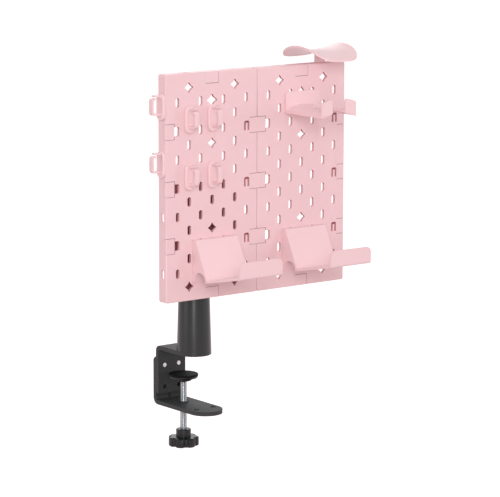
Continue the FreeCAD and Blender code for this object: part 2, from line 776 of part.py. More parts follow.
# ---------------------------------------------------------------- pole
def build_post():
    """The steel post inside the pole, with a foot flange and a spigot for the swivel."""
    body = new_body("post")
    foot = val("steel")
    shoulder, peak = val("post_shoulder"), val("post_shoulder") + val("spigot_tall")
    half = on_plane(body, "XZ_Plane", "half")
    outline(half, [(val("post_bore"), foot), (val("flange_radius"), foot),
                   (val("flange_radius"), foot + val("flange_thick")),
                   (val("post_radius"), foot + val("flange_thick")), (val("post_radius"), shoulder),
                   (val("spigot_radius"), shoulder), (val("spigot_radius"), peak - 0.8),
                   (val("spigot_radius") - 0.8, peak), (5.05, peak), (5.05, shoulder + 4), (0, shoulder + 4),
                   (0, shoulder - 8), (val("post_bore"), shoulder - 8)])
    revolve(body, half)
    taps = on_plane(body, "XY_Plane", "taps", V(0, 0, foot - 1))
    for x, y in post_screw_places():
        circle(taps, x, y, val("m4_tap"), "dims.m4_tap")
    pocket(body, taps, val("flange_thick") + 2, back=True)
    place(body, 0, pole_y, 0)
    return keep(body)


def build_post_screws():
    """Three cheese-head screws that hold the post's flange from under the jaw plate."""
    body = new_body("post_screws")
    seat, head = val("m4_sink"), val("m4_head")
    heads = on_plane(body, "XY_Plane", "heads", V(0, 0, 0.4))
    shanks = on_plane(body, "XY_Plane", "shanks", V(0, 0, seat - 0.2))
    slots = on_plane(body, "XY_Plane", "slots", V(0, 0, 0.4))
    for x, y in post_screw_places():
        circle(heads, x, y, head, "dims.m4_head")
        circle(shanks, x, y, val("m4_shank"), "dims.m4_shank")
        driver_slot(slots, x, y, head)
    pad(body, heads, seat - 0.4)
    pad(body, shanks, 0.2 + val("steel") - seat + val("flange_thick"))
    pocket(body, slots, 1.0, back=True)
    place(body, 0, pole_y, 0)
    return keep(body)


def build_pole_sleeve():
    """The tapered cover round the post; it stands on the jaw plate and its skirt hides the plate's nose."""
    body = new_body("pole_sleeve")
    foot, peak, wall = 0.15, val("pole_top"), val("pole_wall")
    low, high = val("pole_foot_radius"), val("pole_top_radius")
    half = on_plane(body, "XZ_Plane", "half")
    outline(half, [(low - wall, foot), (low - 0.4, foot), (low, foot + 0.4), (high, peak - 1.0),
                   (high - 1.0, peak), (high - wall, peak)])
    revolve(body, half)
    behind = on_plane(body, "XY_Plane", "plate_seat", V(0, 0, -1))
    rectangle(behind, -low - 2, -0.3, 2 * low + 4, low + 4)
    pocket(body, behind, 1 + val("steel"), "dims.steel + 1", back=True)
    place(body, 0, pole_y, 0)
    return keep(body)


def build_swivel_washer():
    """A nylon washer between the post's shoulder and the swivel head."""
    body = new_body("swivel_washer")
    ring = on_plane(body, "XY_Plane", "ring", V(0, 0, val("post_shoulder")))
    circle(ring, 0, 0, val("post_radius"), "dims.post_radius")
    circle(ring, 0, 0, val("spigot_radius") + 0.3, "dims.spigot_radius + 0.3")
    pad(body, ring, val("washer_thick"), "dims.washer_thick")
    place(body, 0, pole_y, 0)
    return keep(body)


# ---------------------------------------------------------------- swivel head and board plate
def head_low():
    """Height of the swivel head's underside."""
    return val("post_shoulder") + val("washer_thick")


def head_screw_places():
    """The four screws that hold the board plate on the swivel head's flange."""
    across, inset = val("head_screw_across"), val("head_screw_inset")
    low, high = head_low() + inset, head_low() + val("hub_tall") - inset
    return [(x, z) for x in (-across, across) for z in (low, high)]


def build_swivel_head():
    """A hub that turns on the post's spigot, with a flange for the board plate."""
    body = new_body("swivel_head")
    low, tall = head_low(), val("hub_tall")
    reach = plate_back - pole_y
    hub = on_plane(body, "XY_Plane", "hub", V(0, 0, low))
    circle(hub, 0, 0, val("hub_radius"), "dims.hub_radius")
    pad(body, hub, tall, "dims.hub_tall")
    web = on_plane(body, "XY_Plane", "web", V(0, 0, low))
    outline(web, [(-10, 0), (-13, reach + 1), (13, reach + 1), (10, 0)])
    pad(body, web, tall, "dims.hub_tall")
    flange = on_plane(body, "XZ_Plane", "flange", V(0, 0, -reach))
    rounded(flange, [(-30, low, 5), (30, low, 5), (30, low + tall, 5), (-30, low + tall, 5)])
    pad(body, flange, val("head_flange"), "dims.head_flange", back=True)
    bore = on_plane(body, "XY_Plane", "bore", V(0, 0, low - 1))
    circle(bore, 0, 0, val("spigot_radius") + val("running_gap"), "dims.spigot_radius + dims.running_gap")
    pocket(body, bore, tall + 2, back=True)
    holes = on_plane(body, "XZ_Plane", "screw_holes", V(0, 0, -reach + 1))
    for x, z in head_screw_places():
        circle(holes, x, z, val("m4_clear"), "dims.m4_clear")
    pocket(body, holes, val("head_flange") + 2)
    place(body, 0, pole_y, 0)
    return keep(body)


def build_swivel_bolt():
    """The bolt and its wide washer that keep the swivel head on the spigot."""
    body = new_body("swivel_bolt")
    peak = val("post_shoulder") + val("spigot_tall")
    shank = on_plane(body, "XY_Plane", "shank", V(0, 0, peak - 28))
    circle(shank, 0, 0, val("rod_radius"), "dims.rod_radius")
    pad(body, shank, 29)
    washer = on_plane(body, "XY_Plane", "washer", V(0, 0, peak))
    circle(washer, 0, 0, val("hub_radius") - 1.5, "dims.hub_radius - 1.5")
    pad(body, washer, 2.0)
    head = on_plane(body, "XY_Plane", "head", V(0, 0, peak + 2))
    hexagon(head, 0, 0, val("head_bolt_reach"))
    pad(body, head, 6.4)
    place(body, 0, pole_y, 0)
    return keep(body)


def build_head_screws():
    """Four screws through the head's flange into the board plate."""
    body = new_body("head_screws")
    seat = plate_back + val("head_flange")
    heads = on_plane(body, "XZ_Plane", "heads", V(0, 0, -seat))
    shanks = on_plane(body, "XZ_Plane", "shanks", V(0, 0, -seat - 0.5))
    slots = on_plane(body, "XZ_Plane", "slots", V(0, 0, -seat - 2.6))
    for x, z in head_screw_places():
        circle(heads, x, z, val("m4_head"), "dims.m4_head")
        circle(shanks, x, z, val("m4_shank"), "dims.m4_shank")
        driver_slot(slots, x, z, val("m4_head"))
    pad(body, heads, 2.6, back=True)
    pad(body, shanks, 0.5 + val("head_flange") + val("plate_thick") - 0.2)
    pocket(body, slots, 1.0, back=True)
    return keep(body)


def build_board_plate():
    """The steel plate between the swivel head and the left panel."""
    body = new_body("board_plate")
    half, low, bend = val("plate_wide") / 2, bottom + 8, val("plate_round")
    high = low + val("plate_tall")
    blank = on_plane(body, "XZ_Plane", "blank", V(0, 0, -back))
    rounded(blank, [(-half, low, bend), (half, low, bend), (half, high, bend), (-half, high, bend)])
    pad(body, blank, val("plate_thick"), "dims.plate_thick", back=True)
    holes = on_plane(body, "XZ_Plane", "holes", V(0, 0, -back + 1))
    for x, z in head_screw_places():
        circle(holes, x, z, val("m4_tap"), "dims.m4_tap")
    for x, z in boss_places():
        circle(holes, x, z, 1.9)
    pocket(body, holes, val("plate_thick") + 2)
    return keep(body)


def boss_places():
    """Where the left panel's screw bosses stand, in the shared frame."""
    return [(column_place(u), row_height(v)) for u in (1, 3) for v in (4, 7)]


def build_plate_screws():
    """Four screws through the board plate into the left panel's bosses."""
    body = new_body("plate_screws")
    heads = on_plane(body, "XZ_Plane", "heads", V(0, 0, -plate_back))
    shanks = on_plane(body, "XZ_Plane", "shanks", V(0, 0, -plate_back - 0.5))
    slots = on_plane(body, "XZ_Plane", "slots", V(0, 0, -plate_back - 2.2))
    for x, z in boss_places():
        circle(heads, x, z, 3.2)
        circle(shanks, x, z, val("boss_bore") - val("running_gap"), "dims.boss_bore - dims.running_gap")
        driver_slot(slots, x, z, val("m4_head"))
    pad(body, heads, 2.2, back=True)
    pad(body, shanks, 0.5 + val("plate_thick") + 9.0)
    pocket(body, slots, 0.9, back=True)
    return keep(body)


# ---------------------------------------------------------------- clamp screw
def build_clamp_rod():
    """The plain length of the clamp screw; its thread is left smooth."""
    body = new_body("clamp_rod")
    half = on_plane(body, "XZ_Plane", "half")
    radius, high = val("rod_radius"), val("rod_top")
    low = val("knob_top") - val("knob_hub_tall") - 8.0
    outline(half, [(0, low), (radius - 0.8, low), (radius, low + 0.8), (radius, high - 1.2),
                   (radius - 1.2, high), (0, high)])
    revolve(body, half)
    return keep(body)


def build_knob():
    """The lobed hand knob pressed on the lower end of the rod."""
    body = new_body("knob")
    hub_low = val("knob_top") - val("knob_hub_tall")
    low = hub_low - val("knob_tall")
    grip = on_plane(body, "XY_Plane", "grip", V(0, 0, low))
    radius, lobes, notch = val("knob_radius"), int(val("knob_lobes")), val("knob_notch")
    step = 2 * math.pi / lobes
    spread = step * 0.31

    def spot(reach, angle):
        return V(reach * math.cos(angle), reach * math.sin(angle))

    for i in range(lobes):
        middle = i * step - math.pi / 2
        start, end = spot(radius - 0.6, middle - spread), spot(radius - 0.6, middle + spread)
        grip.addGeometry(Part.Arc(start, spot(radius, middle), end), False)
        following = spot(radius - 0.6, middle + step - spread)
        grip.addGeometry(Part.Arc(end, spot(radius - notch, middle + step / 2), following), False)
    pad(body, grip, val("knob_tall"), "dims.knob_tall")
    rims = edges_where(body.Shape, lambda e, m: abs(m.z - low) < 1e-4 or abs(m.z - hub_low) < 1e-4)
    dress(body, "Chamfer", rims, 1.5)
    hub = on_plane(body, "XY_Plane", "hub", V(0, 0, hub_low - 1))
    circle(hub, 0, 0, val("knob_hub_radius"), "dims.knob_hub_radius")
    pad(body, hub, val("knob_hub_tall") + 1, "dims.knob_hub_tall + 1")
    rim = edges_where(body.Shape, lambda e, m: abs(m.z - val("knob_top")) < 1e-4)
    dress(body, "Chamfer", rim, 0.8)
    bore = on_plane(body, "XY_Plane", "bore", V(0, 0, val("knob_top") + 1))
    circle(bore, 0, 0, val("rod_radius") + 0.01)
    pocket(body, bore, 1 + val("knob_hub_tall") + 8.2)
    return keep(body)


def build_pressure_pad():
    """The disc that turns on the rod's end, with a hub below."""
    body = new_body("pressure_pad")
    top_z = val("pad_top") - val("pad_face_thick")
    low = top_z - val("pad_thick")
    radius = val("pad_radius")
    end = val("rod_top") + 0.3
    inner = val("rod_radius") + val("running_gap")
    half = on_plane(body, "XZ_Plane", "half")
    hub, hub_low = val("pad_hub_radius"), low - val("pad_hub_tall")
    outline(half, [(0, top_z), (radius, top_z), (radius, top_z - 1.2), (radius - 1.4, low), (hub, low),
                   (hub, hub_low + 0.6), (hub - 0.6, hub_low), (inner, hub_low), (inner, end), (0, end)])
    revolve(body, half)
    return keep(body)


def build_pad_face():
    """The rubber disc on the pressure pad."""
    body = new_body("pad_face")
    top_z = val("pad_top")
    half = on_plane(body, "XZ_Plane", "half")
    outline(half, [(0, top_z), (val("pad_radius") - 0.7, top_z), (val("pad_radius"), top_z - 0.7),
                   (val("pad_radius"), top_z - val("pad_face_thick")), (0, top_z - val("pad_face_thick"))])
    revolve(body, half)
    return keep(body)


# ---------------------------------------------------------------- accessories
def add_pegs(body, places):
    """Pegs that pass through slots, each with a tongue turned down behind the face."""
    wide, gap = val("peg_wide"), val("seat_gap")
    low, high = val("peg_low"), val("peg_low") + val("peg_tall")
    behind = val("face_thick") + gap
    necks = on_plane(body, "XZ_Plane", "pegs", V(0, 0, gap + 1.0))
    tongues = on_plane(body, "XZ_Plane", "tongues", V(0, 0, -behind))
    for x in places:
        rectangle(necks, x - wide / 2, low, wide, high - low, "dims.peg_wide", "dims.peg_tall")
        left, right, foot = x - wide / 2, x + wide / 2, low - val("peg_fall")
        rounded(tongues, [(left, foot, 1.2), (right, foot, 1.2), (right, high), (left, high)])
    pad(body, necks, gap + 1.0 + behind + val("peg_thick"), back=True)
    pad(body, tongues, val("peg_thick"), "dims.peg_thick", back=True)


def build_hook(label, x, y, z, angle=0.0):
    """A cable hook: an oval base, a squared loop with an oblique slit, and one peg."""
    body = new_body(label)
    gap, thick, strip = val("seat_gap"), val("hook_thick"), val("hook_strip")
    wide, tall, reach = val("hook_wide"), val("hook_tall"), val("hook_reach")
    base = on_plane(body, "XZ_Plane", "base", V(0, 0, gap))
    stadium(base, 0, -val("hook_drop"), wide, tall)
    pad(body, base, val("hook_base"), "dims.hook_base")
    rims = edges_where(body.Shape, lambda e, m: abs(m.y + gap + val("hook_base")) < 1e-4)
    dress(body, "Chamfer", rims, 1.2)
    low, high = val("loop_low"), val("loop_high")
    inner = reach - thick
    loop = on_plane(body, "YZ_Plane", "loop")
    rounded(loop, [(-gap - 1, low), (-reach, low, 5), (-reach, high, 4), (6.5 - reach, high),
                   (6.5 - reach, high - 2.8), (-inner, high - 2.8, 1.2), (-inner, low + thick, 2.2),
                   (-gap - 1, low + thick)])
    pad(body, loop, strip, "dims.hook_strip", middle=True)
    arm = on_plane(body, "YZ_Plane", "arm")
    rounded(arm, [(-gap - 1, high), (-gap - 1, high + 3.5), (4.2 - reach, high + 4.3, 0.8),
                  (4.8 - reach, high + 1.7, 0.8)])
    pad(body, arm, strip, "dims.hook_strip", middle=True)
    add_pegs(body, [0])
    place(body, x, y, z, V(0, 0, 1), angle)
    return keep(body)


def build_controller_cradle(x, z):
    """A forked, arched shelf with a raised lip at the end of each prong."""
    body = new_body("controller_cradle")
    gap, half = val("seat_gap"), val("cradle_wide") / 2
    reach = val("cradle_reach")
    radius, thick = val("cradle_arch"), val("cradle_thick")
    plate = on_plane(body, "XZ_Plane", "back_plate", V(0, 0, gap))
    low, high = val("cradle_low"), val("cradle_low") + val("cradle_back_tall")
    rounded(plate, [(-half, low, 3), (half, low, 3), (half, high, 5), (-half, high, 5)])
    pad(body, plate, 3.0)
    peak = val("cradle_peak")
    shelf = on_plane(body, "XZ_Plane", "shelf", V(0, 0, gap + 1))
    centre = peak - radius

    def arc_point(bow, across):
        return V(across, centre + math.sqrt(bow * bow - across * across))

    upper = [arc_point(radius, s) for s in (-half, 0, half)]
    lower = [arc_point(radius - thick, s) for s in (half, 0, -half)]
    shelf.addGeometry(Part.Arc(*upper), False)
    shelf.addGeometry(Part.LineSegment(upper[2], lower[0]), False)
    shelf.addGeometry(Part.Arc(*lower), False)
    shelf.addGeometry(Part.LineSegment(lower[2], upper[0]), False)
    pad(body, shelf, reach - 1)
    notch = on_plane(body, "XY_Plane", "notch", V(0, 0, 0))
    gap_half, deep = val("cradle_gap") / 2, val("cradle_gap_deep")
    end = -gap - reach
    notch.addGeometry(Part.LineSegment(V(-gap_half, end - 5), V(gap_half, end - 5)), False)
    notch.addGeometry(Part.LineSegment(V(gap_half, end - 5), V(gap_half, end + deep - gap_half)), False)
    notch.addGeometry(Part.Arc(V(gap_half, end + deep - gap_half), V(0, end + deep),
                               V(-gap_half, end + deep - gap_half)), False)
    notch.addGeometry(Part.LineSegment(V(-gap_half, end + deep - gap_half), V(-gap_half, end - 5)), False)
    pocket(body, notch, 200, middle=True)
    lips = on_plane(body, "XZ_Plane", "lips", V(0, 0, -end - val("lip_thick")))
    tall, foot = val("cradle_lip_tall"), val("cradle_lip_foot")
    inner_top, outer_top = arc_point(radius, gap_half).y, arc_point(radius, half).y
    for side in (-1, 1):
        inner, outer = side * gap_half, side * half
        rounded(lips, [(inner, inner_top - foot), (outer, outer_top - foot), (outer, outer_top + tall, 4.5),
                       (inner, inner_top + tall, 4.5)])
    pad(body, lips, val("lip_thick"), "dims.lip_thick")
    add_pegs(body, [-pitch / 2, pitch / 2])
    place(body, x, front, z)
    return keep(body)


def build_headphone_rest(x):
    """A saddle-shaped plate on a flat stem, plugged into the slot in the top wall."""
    body = new_body("headphone_rest")
    half_wide, half_long = val("rest_half_wide"), val("rest_half_long")
    radius, thick, rise = val("rest_radius"), val("rest_thick"), val("rest_rise")
    dip = val("rest_dip")
    reach, side = half_long + 1, half_wide + 1

    def top_height(across, along):
        """Height of the saddle's top: it falls towards both ends and dips in the middle of its width."""
        fall = radius - math.sqrt(radius * radius - along * along)
        return rise - fall - dip * (1 - (across / half_wide) ** 2) * (1 - (along / half_long) ** 2)

    sections = []
    for k in range(-4, 5):
        along = reach * k / 4
        section = on_plane(body, "XZ_Plane", "section_%d" % (k + 4), V(0, 0, -along))
        upper = [V(s, top_height(s, along)) for s in (-side, 0, side)]
        lower = [V(s, top_height(s, along) - thick) for s in (side, 0, -side)]
        bow = abs(upper[0].y - upper[1].y) > 0.05
        for line in (upper, lower):
            if bow:
                section.addGeometry(Part.Arc(*line), False)
            else:
                section.addGeometry(Part.LineSegment(line[0], line[2]), False)
            far = lower[0] if line is upper else upper[0]
            section.addGeometry(Part.LineSegment(line[2], far), False)
        sections.append(section)
    saddle = body.newObject("PartDesign::AdditiveLoft", "saddle")
    saddle.Profile = sections[0]
    saddle.Sections = sections[1:]
    saddle.Refine = False
    doc.recompute()
    trim = on_plane(body, "XY_Plane", "trim")
    rectangle(trim, -half_wide - 10, -half_long - 10, 2 * half_wide + 20, 2 * half_long + 20)
    points = []
    power = 2 / val("rest_square")
    for k in range(32):
        angle = 2 * math.pi * k / 32
        across, along = math.cos(angle), math.sin(angle)
        points.append(V(half_wide * math.copysign(abs(across) ** power, across),
                        half_long * math.copysign(abs(along) ** power, along)))
    oval = Part.BSplineCurve()
    oval.interpolate(points, PeriodicFlag=True)
    trim.addGeometry(oval, False)
    pocket(body, trim, 200, middle=True)
    stem = on_plane(body, "XZ_Plane", "stem")
    stem_half, seat = val("rest_stem_wide") / 2, val("seat_gap")
    rectangle(stem, -stem_half, seat, 2 * stem_half, rise - dip - thick + 1 - seat)
    pad(body, stem, val("rest_stem_thick"), "dims.rest_stem_thick", middle=True)
    tenon = on_plane(body, "XZ_Plane", "tenon")
    rounded(tenon, [(-5.8, -val("tenon_deep"), 1.5), (5.8, -val("tenon_deep"), 1.5), (5.8, 2), (-5.8, 2)])
    pad(body, tenon, val("rest_stem_thick"), "dims.rest_stem_thick", middle=True)
    place(body, x, front + val("side_slot_depth"), top)
    return keep(body)


def build_phone_holder(label, x, z):
    """A leaning backrest on triangular sides, a rising ledge and a front lip."""
    body = new_body(label)
    gap, wall, wide = val("seat_gap"), val("phone_wall"), val("phone_wide")
    high, low = val("phone_high"), val("phone_high") - val("phone_tall")
    lean, ledge, rise = val("phone_lean"), val("phone_ledge"), val("phone_ledge_rise")
    shift = val("phone_shift")
    lip = val("phone_lip")
    foot_y = -gap - 2.95 - lean
    plate = on_plane(body, "XZ_Plane", "base", V(0, 0, gap))
    rectangle(plate, shift - wide / 2, low - 2, wide, high - low + 2)
    pad(body, plate, 3.0)
    tip_y = foot_y - ledge
    profile = on_plane(body, "YZ_Plane", "profile", V(0, 0, shift))
    rounded(profile, [(-gap - 2, high), (-gap - 7.6, high, 1.5), (foot_y + 0.6, low + wall + 0.4, 3.0),
                      (tip_y + wall, low + rise + wall, 2.0), (tip_y + wall, low + rise + lip + 1),
                      (tip_y, low + rise + lip + 1), (tip_y, low + rise, 3.0), (foot_y + 2.8, low, 3.0),
                      (-gap - 2, high - 4)])
    pad(body, profile, wide, "dims.phone_wide", middle=True)
    for side, offset in (("left", shift - wide / 2), ("right", shift + wide / 2 - 3.0)):
        cheek = on_plane(body, "YZ_Plane", side + "_cheek", V(0, 0, offset))
        notch = val("phone_notch")
        middle = (foot_y - gap) / 2
        outline_points = [V(-gap - 1, high - 2), V(foot_y + 2.2, low + 0.6), V(middle - notch, low + 0.3)]
        cheek.addGeometry(Part.LineSegment(outline_points[0], outline_points[1]), False)
        cheek.addGeometry(Part.LineSegment(outline_points[1], outline_points[2]), False)
        crown, far = V(middle, low + notch), V(middle + notch, low - 1)
        cheek.addGeometry(Part.Arc(outline_points[2], crown, far), False)
        cheek.addGeometry(Part.LineSegment(far, V(-gap - 1, low - 1)), False)
        cheek.addGeometry(Part.LineSegment(V(-gap - 1, low - 1), outline_points[0]), False)
        pad(body, cheek, 3.0)
    crest = low + rise + lip + 1
    corners = edges_where(body.Shape, lambda e, m: m.y < tip_y + wall and abs(m.z - crest) < 1e-3
                          and abs(abs(m.x - shift) - wide / 2) < 1e-3)
    dress(body, "Fillet", corners, 8.0)
    add_pegs(body, [-pitch / 2, pitch / 2])
    place(body, x, front, z)
    return keep(body)


plate_back = back + val("plate_thick")

# ---------------------------------------------------------------- build everything
build_upper_bracket()
build_lower_bracket()
build_bracket_screws()
build_screw_insert()
build_post()
build_post_screws()
build_pole_sleeve()
build_swivel_washer()
build_swivel_head()
build_swivel_bolt()
build_head_screws()
build_board_plate()
build_plate_screws()
left_panel = keep(build_panel("left_panel"))
right_panel = keep(twin("right_panel", left_panel))
place(left_panel, left_edge, front, top)
place(right_panel, seam, front, top)
for clip_name, clip_row in (("clip_top", 2), ("clip_middle", 4), ("clip_bottom", 6)):
    build_clip(clip_name, row_height(clip_row))
for cap_row in (2, 4, 6):
    build_cap("left_cap_%d" % (cap_row // 2), left_edge, "left", cap_row)
    build_cap("right_cap_%d" % (cap_row // 2), seam, "right", cap_row)
for cap_side in ("top", "bottom"):
    build_cap("%s_cap_1" % cap_side, left_edge, cap_side)
    build_cap("%s_cap_2" % cap_side, seam, cap_side)
build_seam_bolt("seam_bolt_high", row_height(3))
build_seam_bolt("seam_bolt_low", row_height(5))
build_clamp_rod()
build_knob()
build_pressure_pad()
build_pad_face()
build_hook("front_hook_1", column_place(1), front, row_height(1.5))
build_hook("front_hook_2", column_place(2), front, row_height(1.5))
build_hook("front_hook_3", column_place(1), front, row_height(3.5))
build_hook("front_hook_4", column_place(2), front, row_height(3.5))
side_y = front + val("side_slot_depth")
build_hook("side_hook_1", left_edge, side_y, row_height(1), -90)
build_hook("side_hook_2", left_edge, side_y, row_height(3), -90)
build_controller_cradle(column_place(6), row_height(1))
build_headphone_rest(column_place(7))
build_phone_holder("phone_holder_left", column_place(2), row_height(6))
build_phone_holder("phone_holder_right", column_place(6), row_height(6))

# ---------------------------------------------------------------- check, then write
doc.recompute()
for item in doc.Objects:
    if "Invalid" in item.State or "Error" in item.State:
        raise RuntimeError("object in trouble: %s %s" % (item.Name, item.State))
os.makedirs("parts", exist_ok=True)
for part in parts:
    shape = part.Shape
    if shape.isNull() or not shape.isValid() or len(shape.Solids) < 1:
        raise RuntimeError("bad shape: " + part.Label)
    box = shape.optimalBoundingBox(False)
    print("%-20s %2d solids %4d faces %10.0f mm3  x %.1f..%.1f y %.1f..%.1f z %.1f..%.1f" % (
        part.Label, len(shape.Solids), len(shape.Faces), shape.Volume, box.XMin, box.XMax, box.YMin, box.YMax,
        box.ZMin, box.ZMax))
    shape.exportStep("parts/%s.step" % part.Label)
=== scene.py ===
"""Dresses the clamp-on pegboard organizer for rendering and export.

Every piece is in metres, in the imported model's own frame: the origin lies on the underside of
the clamp's upper jaw, on the axis of the clamp screw, +X runs along the board and +Z is up.
"""
import logging
import math
from dataclasses import dataclass
from enum import Enum

import bmesh
import bpy
from mathutils import Matrix, Vector

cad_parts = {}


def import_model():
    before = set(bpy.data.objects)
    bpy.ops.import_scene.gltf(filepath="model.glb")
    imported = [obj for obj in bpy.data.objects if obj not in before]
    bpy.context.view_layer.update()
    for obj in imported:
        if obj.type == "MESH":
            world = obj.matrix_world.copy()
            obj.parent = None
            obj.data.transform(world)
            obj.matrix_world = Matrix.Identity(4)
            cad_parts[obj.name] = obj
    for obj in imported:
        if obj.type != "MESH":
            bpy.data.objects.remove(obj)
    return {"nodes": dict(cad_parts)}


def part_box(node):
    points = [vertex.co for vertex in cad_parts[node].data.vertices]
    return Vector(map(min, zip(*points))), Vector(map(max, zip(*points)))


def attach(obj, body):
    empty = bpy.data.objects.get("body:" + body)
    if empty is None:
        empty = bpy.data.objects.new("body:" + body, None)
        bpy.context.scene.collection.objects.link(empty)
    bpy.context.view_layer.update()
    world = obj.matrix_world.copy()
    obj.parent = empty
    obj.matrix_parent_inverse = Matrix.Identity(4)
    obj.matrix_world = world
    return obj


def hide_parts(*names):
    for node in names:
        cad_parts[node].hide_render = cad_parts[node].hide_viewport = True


LOG = logging.getLogger("pegboard")
MM = 0.001
Colour = tuple[float, float, float, float]
Point = tuple[float, float, float]

WELD = 2e-6         # corners closer than this are one corner, in metres
FINE_WELD = 1e-7    # the same, where a spun mesh closes on itself
FLAT_DEGREES = 0.4  # faces that bend less than this are one face
ROUND_SIDES = 48    # sides of a turned pin or rod

# the Mix node's sockets, which share their names
FACTOR = 0
FLOAT_A, FLOAT_B, FLOAT_MIXED = 2, 3, 0
COLOUR_A, COLOUR_B, COLOUR_MIXED = 6, 7, 2


class Body(str, Enum):
    """The rigid bodies that pieces ride on."""

    CLAMP = "clamp"
    BOARD = "board"
    PAD = "pad"
    SCREW = "screw"


class Slot(str, Enum):
    """The record's material slots."""

    PANEL = "panel_plastic"
    ACCESSORY = "accessory_plastic"
    PANEL_COAT = "panel_coat"
    POWDER = "powder_coat"
    SLEEVE = "sleeve_plastic"
    ZINC = "zinc"
    DARK_STEEL = "dark_steel"
    NYLON = "nylon"
    RUBBER = "rubber_black"
    KNOB = "knob_plastic"


def rgba(red: float, green: float, blue: float) -> Colour:
    """A colour written as 0 to 255 in the display's own scale, as the shader wants it.

    Args:
        red: the red share, 0 to 255.
        green: the green share, 0 to 255.
        blue: the blue share, 0 to 255.

    Returns:
        The same colour in linear light, with full alpha.
    """
    linear = []
    for share in (red, green, blue):
        level = share / 255.0
        linear.append(level / 12.92 if level <= 0.04045 else ((level + 0.055) / 1.055) ** 2.4)
    return (linear[0], linear[1], linear[2], 1.0)


# ---------------------------------------------------------------- shared shader effects
def new_group(name: str, inputs: dict[str, float], outputs: dict[str, str]) -> bpy.types.ShaderNodeTree:
    """An empty shader node group with its sockets.

    Args:
        name: what the group is called.
        inputs: float inputs and their defaults.
        outputs: output names and their socket types.

    Returns:
        The new group, with its input and output nodes in place.
    """
    tree = bpy.data.node_groups.new(name, "ShaderNodeTree")
    for label, default in inputs.items():
        socket = tree.interface.new_socket(name=label, in_out="INPUT", socket_type="NodeSocketFloat")
        socket.default_value = default
    for label, kind in outputs.items():
        tree.interface.new_socket(name=label, in_out="OUTPUT", socket_type=kind)
    tree.nodes.new("NodeGroupInput")
    tree.nodes.new("NodeGroupOutput")
    return tree


def grain_group() -> bpy.types.ShaderNodeTree:
    """Build the fine moulded or sprayed texture, in two sizes of grain.

    Returns:
        The group; its output is a height that changes over the surface.
    """
    tree = new_group("fine_grain", {"Scale": 1500.0, "Coarse share": 0.35}, {"Height": "NodeSocketFloat"})
    nodes, links = tree.nodes, tree.links
    entry, leave = nodes["Group Input"], nodes["Group Output"]
    place = nodes.new("ShaderNodeTexCoord")
    fine = nodes.new("ShaderNodeTexNoise")
    fine.inputs["Detail"].default_value = 3.0
    fine.inputs["Roughness"].default_value = 0.55
    coarse = nodes.new("ShaderNodeTexNoise")
    coarse.inputs["Detail"].default_value = 2.0
    coarser = nodes.new("ShaderNodeMath")
    coarser.operation = "MULTIPLY"
    coarser.inputs[1].default_value = 0.3
    mix = nodes.new("ShaderNodeMix")
    mix.data_type = "FLOAT"
    links.new(place.outputs["Object"], fine.inputs["Vector"])
    links.new(place.outputs["Object"], coarse.inputs["Vector"])
    links.new(entry.outputs["Scale"], fine.inputs["Scale"])
    links.new(entry.outputs["Scale"], coarser.inputs[0])
    links.new(coarser.outputs[0], coarse.inputs["Scale"])
    links.new(entry.outputs["Coarse share"], mix.inputs[FACTOR])
    links.new(fine.outputs["Fac"], mix.inputs[FLOAT_A])
    links.new(coarse.outputs["Fac"], mix.inputs[FLOAT_B])
    links.new(mix.outputs[FLOAT_MIXED], leave.inputs["Height"])
    return tree


def mottle_group() -> bpy.types.ShaderNodeTree:
    """Build the slow, faint unevenness of a moulded or coated surface.

    Returns:
        The group; its output is a share from 0 to 1.
    """
    tree = new_group("slow_mottle", {"Scale": 18.0, "Contrast": 1.0}, {"Share": "NodeSocketFloat"})
    nodes, links = tree.nodes, tree.links
    entry, leave = nodes["Group Input"], nodes["Group Output"]
    place = nodes.new("ShaderNodeTexCoord")
    noise = nodes.new("ShaderNodeTexNoise")
    noise.inputs["Detail"].default_value = 4.0
    centre = nodes.new("ShaderNodeMath")
    centre.operation = "SUBTRACT"
    centre.inputs[1].default_value = 0.5
    spread = nodes.new("ShaderNodeMath")
    spread.operation = "MULTIPLY_ADD"
    spread.inputs[2].default_value = 0.5
    spread.use_clamp = True
    links.new(place.outputs["Object"], noise.inputs["Vector"])
    links.new(entry.outputs["Scale"], noise.inputs["Scale"])
    links.new(noise.outputs["Fac"], centre.inputs[0])
    links.new(centre.outputs[0], spread.inputs[0])
    links.new(entry.outputs["Contrast"], spread.inputs[1])
    links.new(spread.outputs[0], leave.inputs["Share"])
    return tree


class Effects:
    """The shader groups that several finishes share, each built once."""

    def __init__(self) -> None:
        """Build both groups."""
        self.grain = grain_group()
        self.mottle = mottle_group()


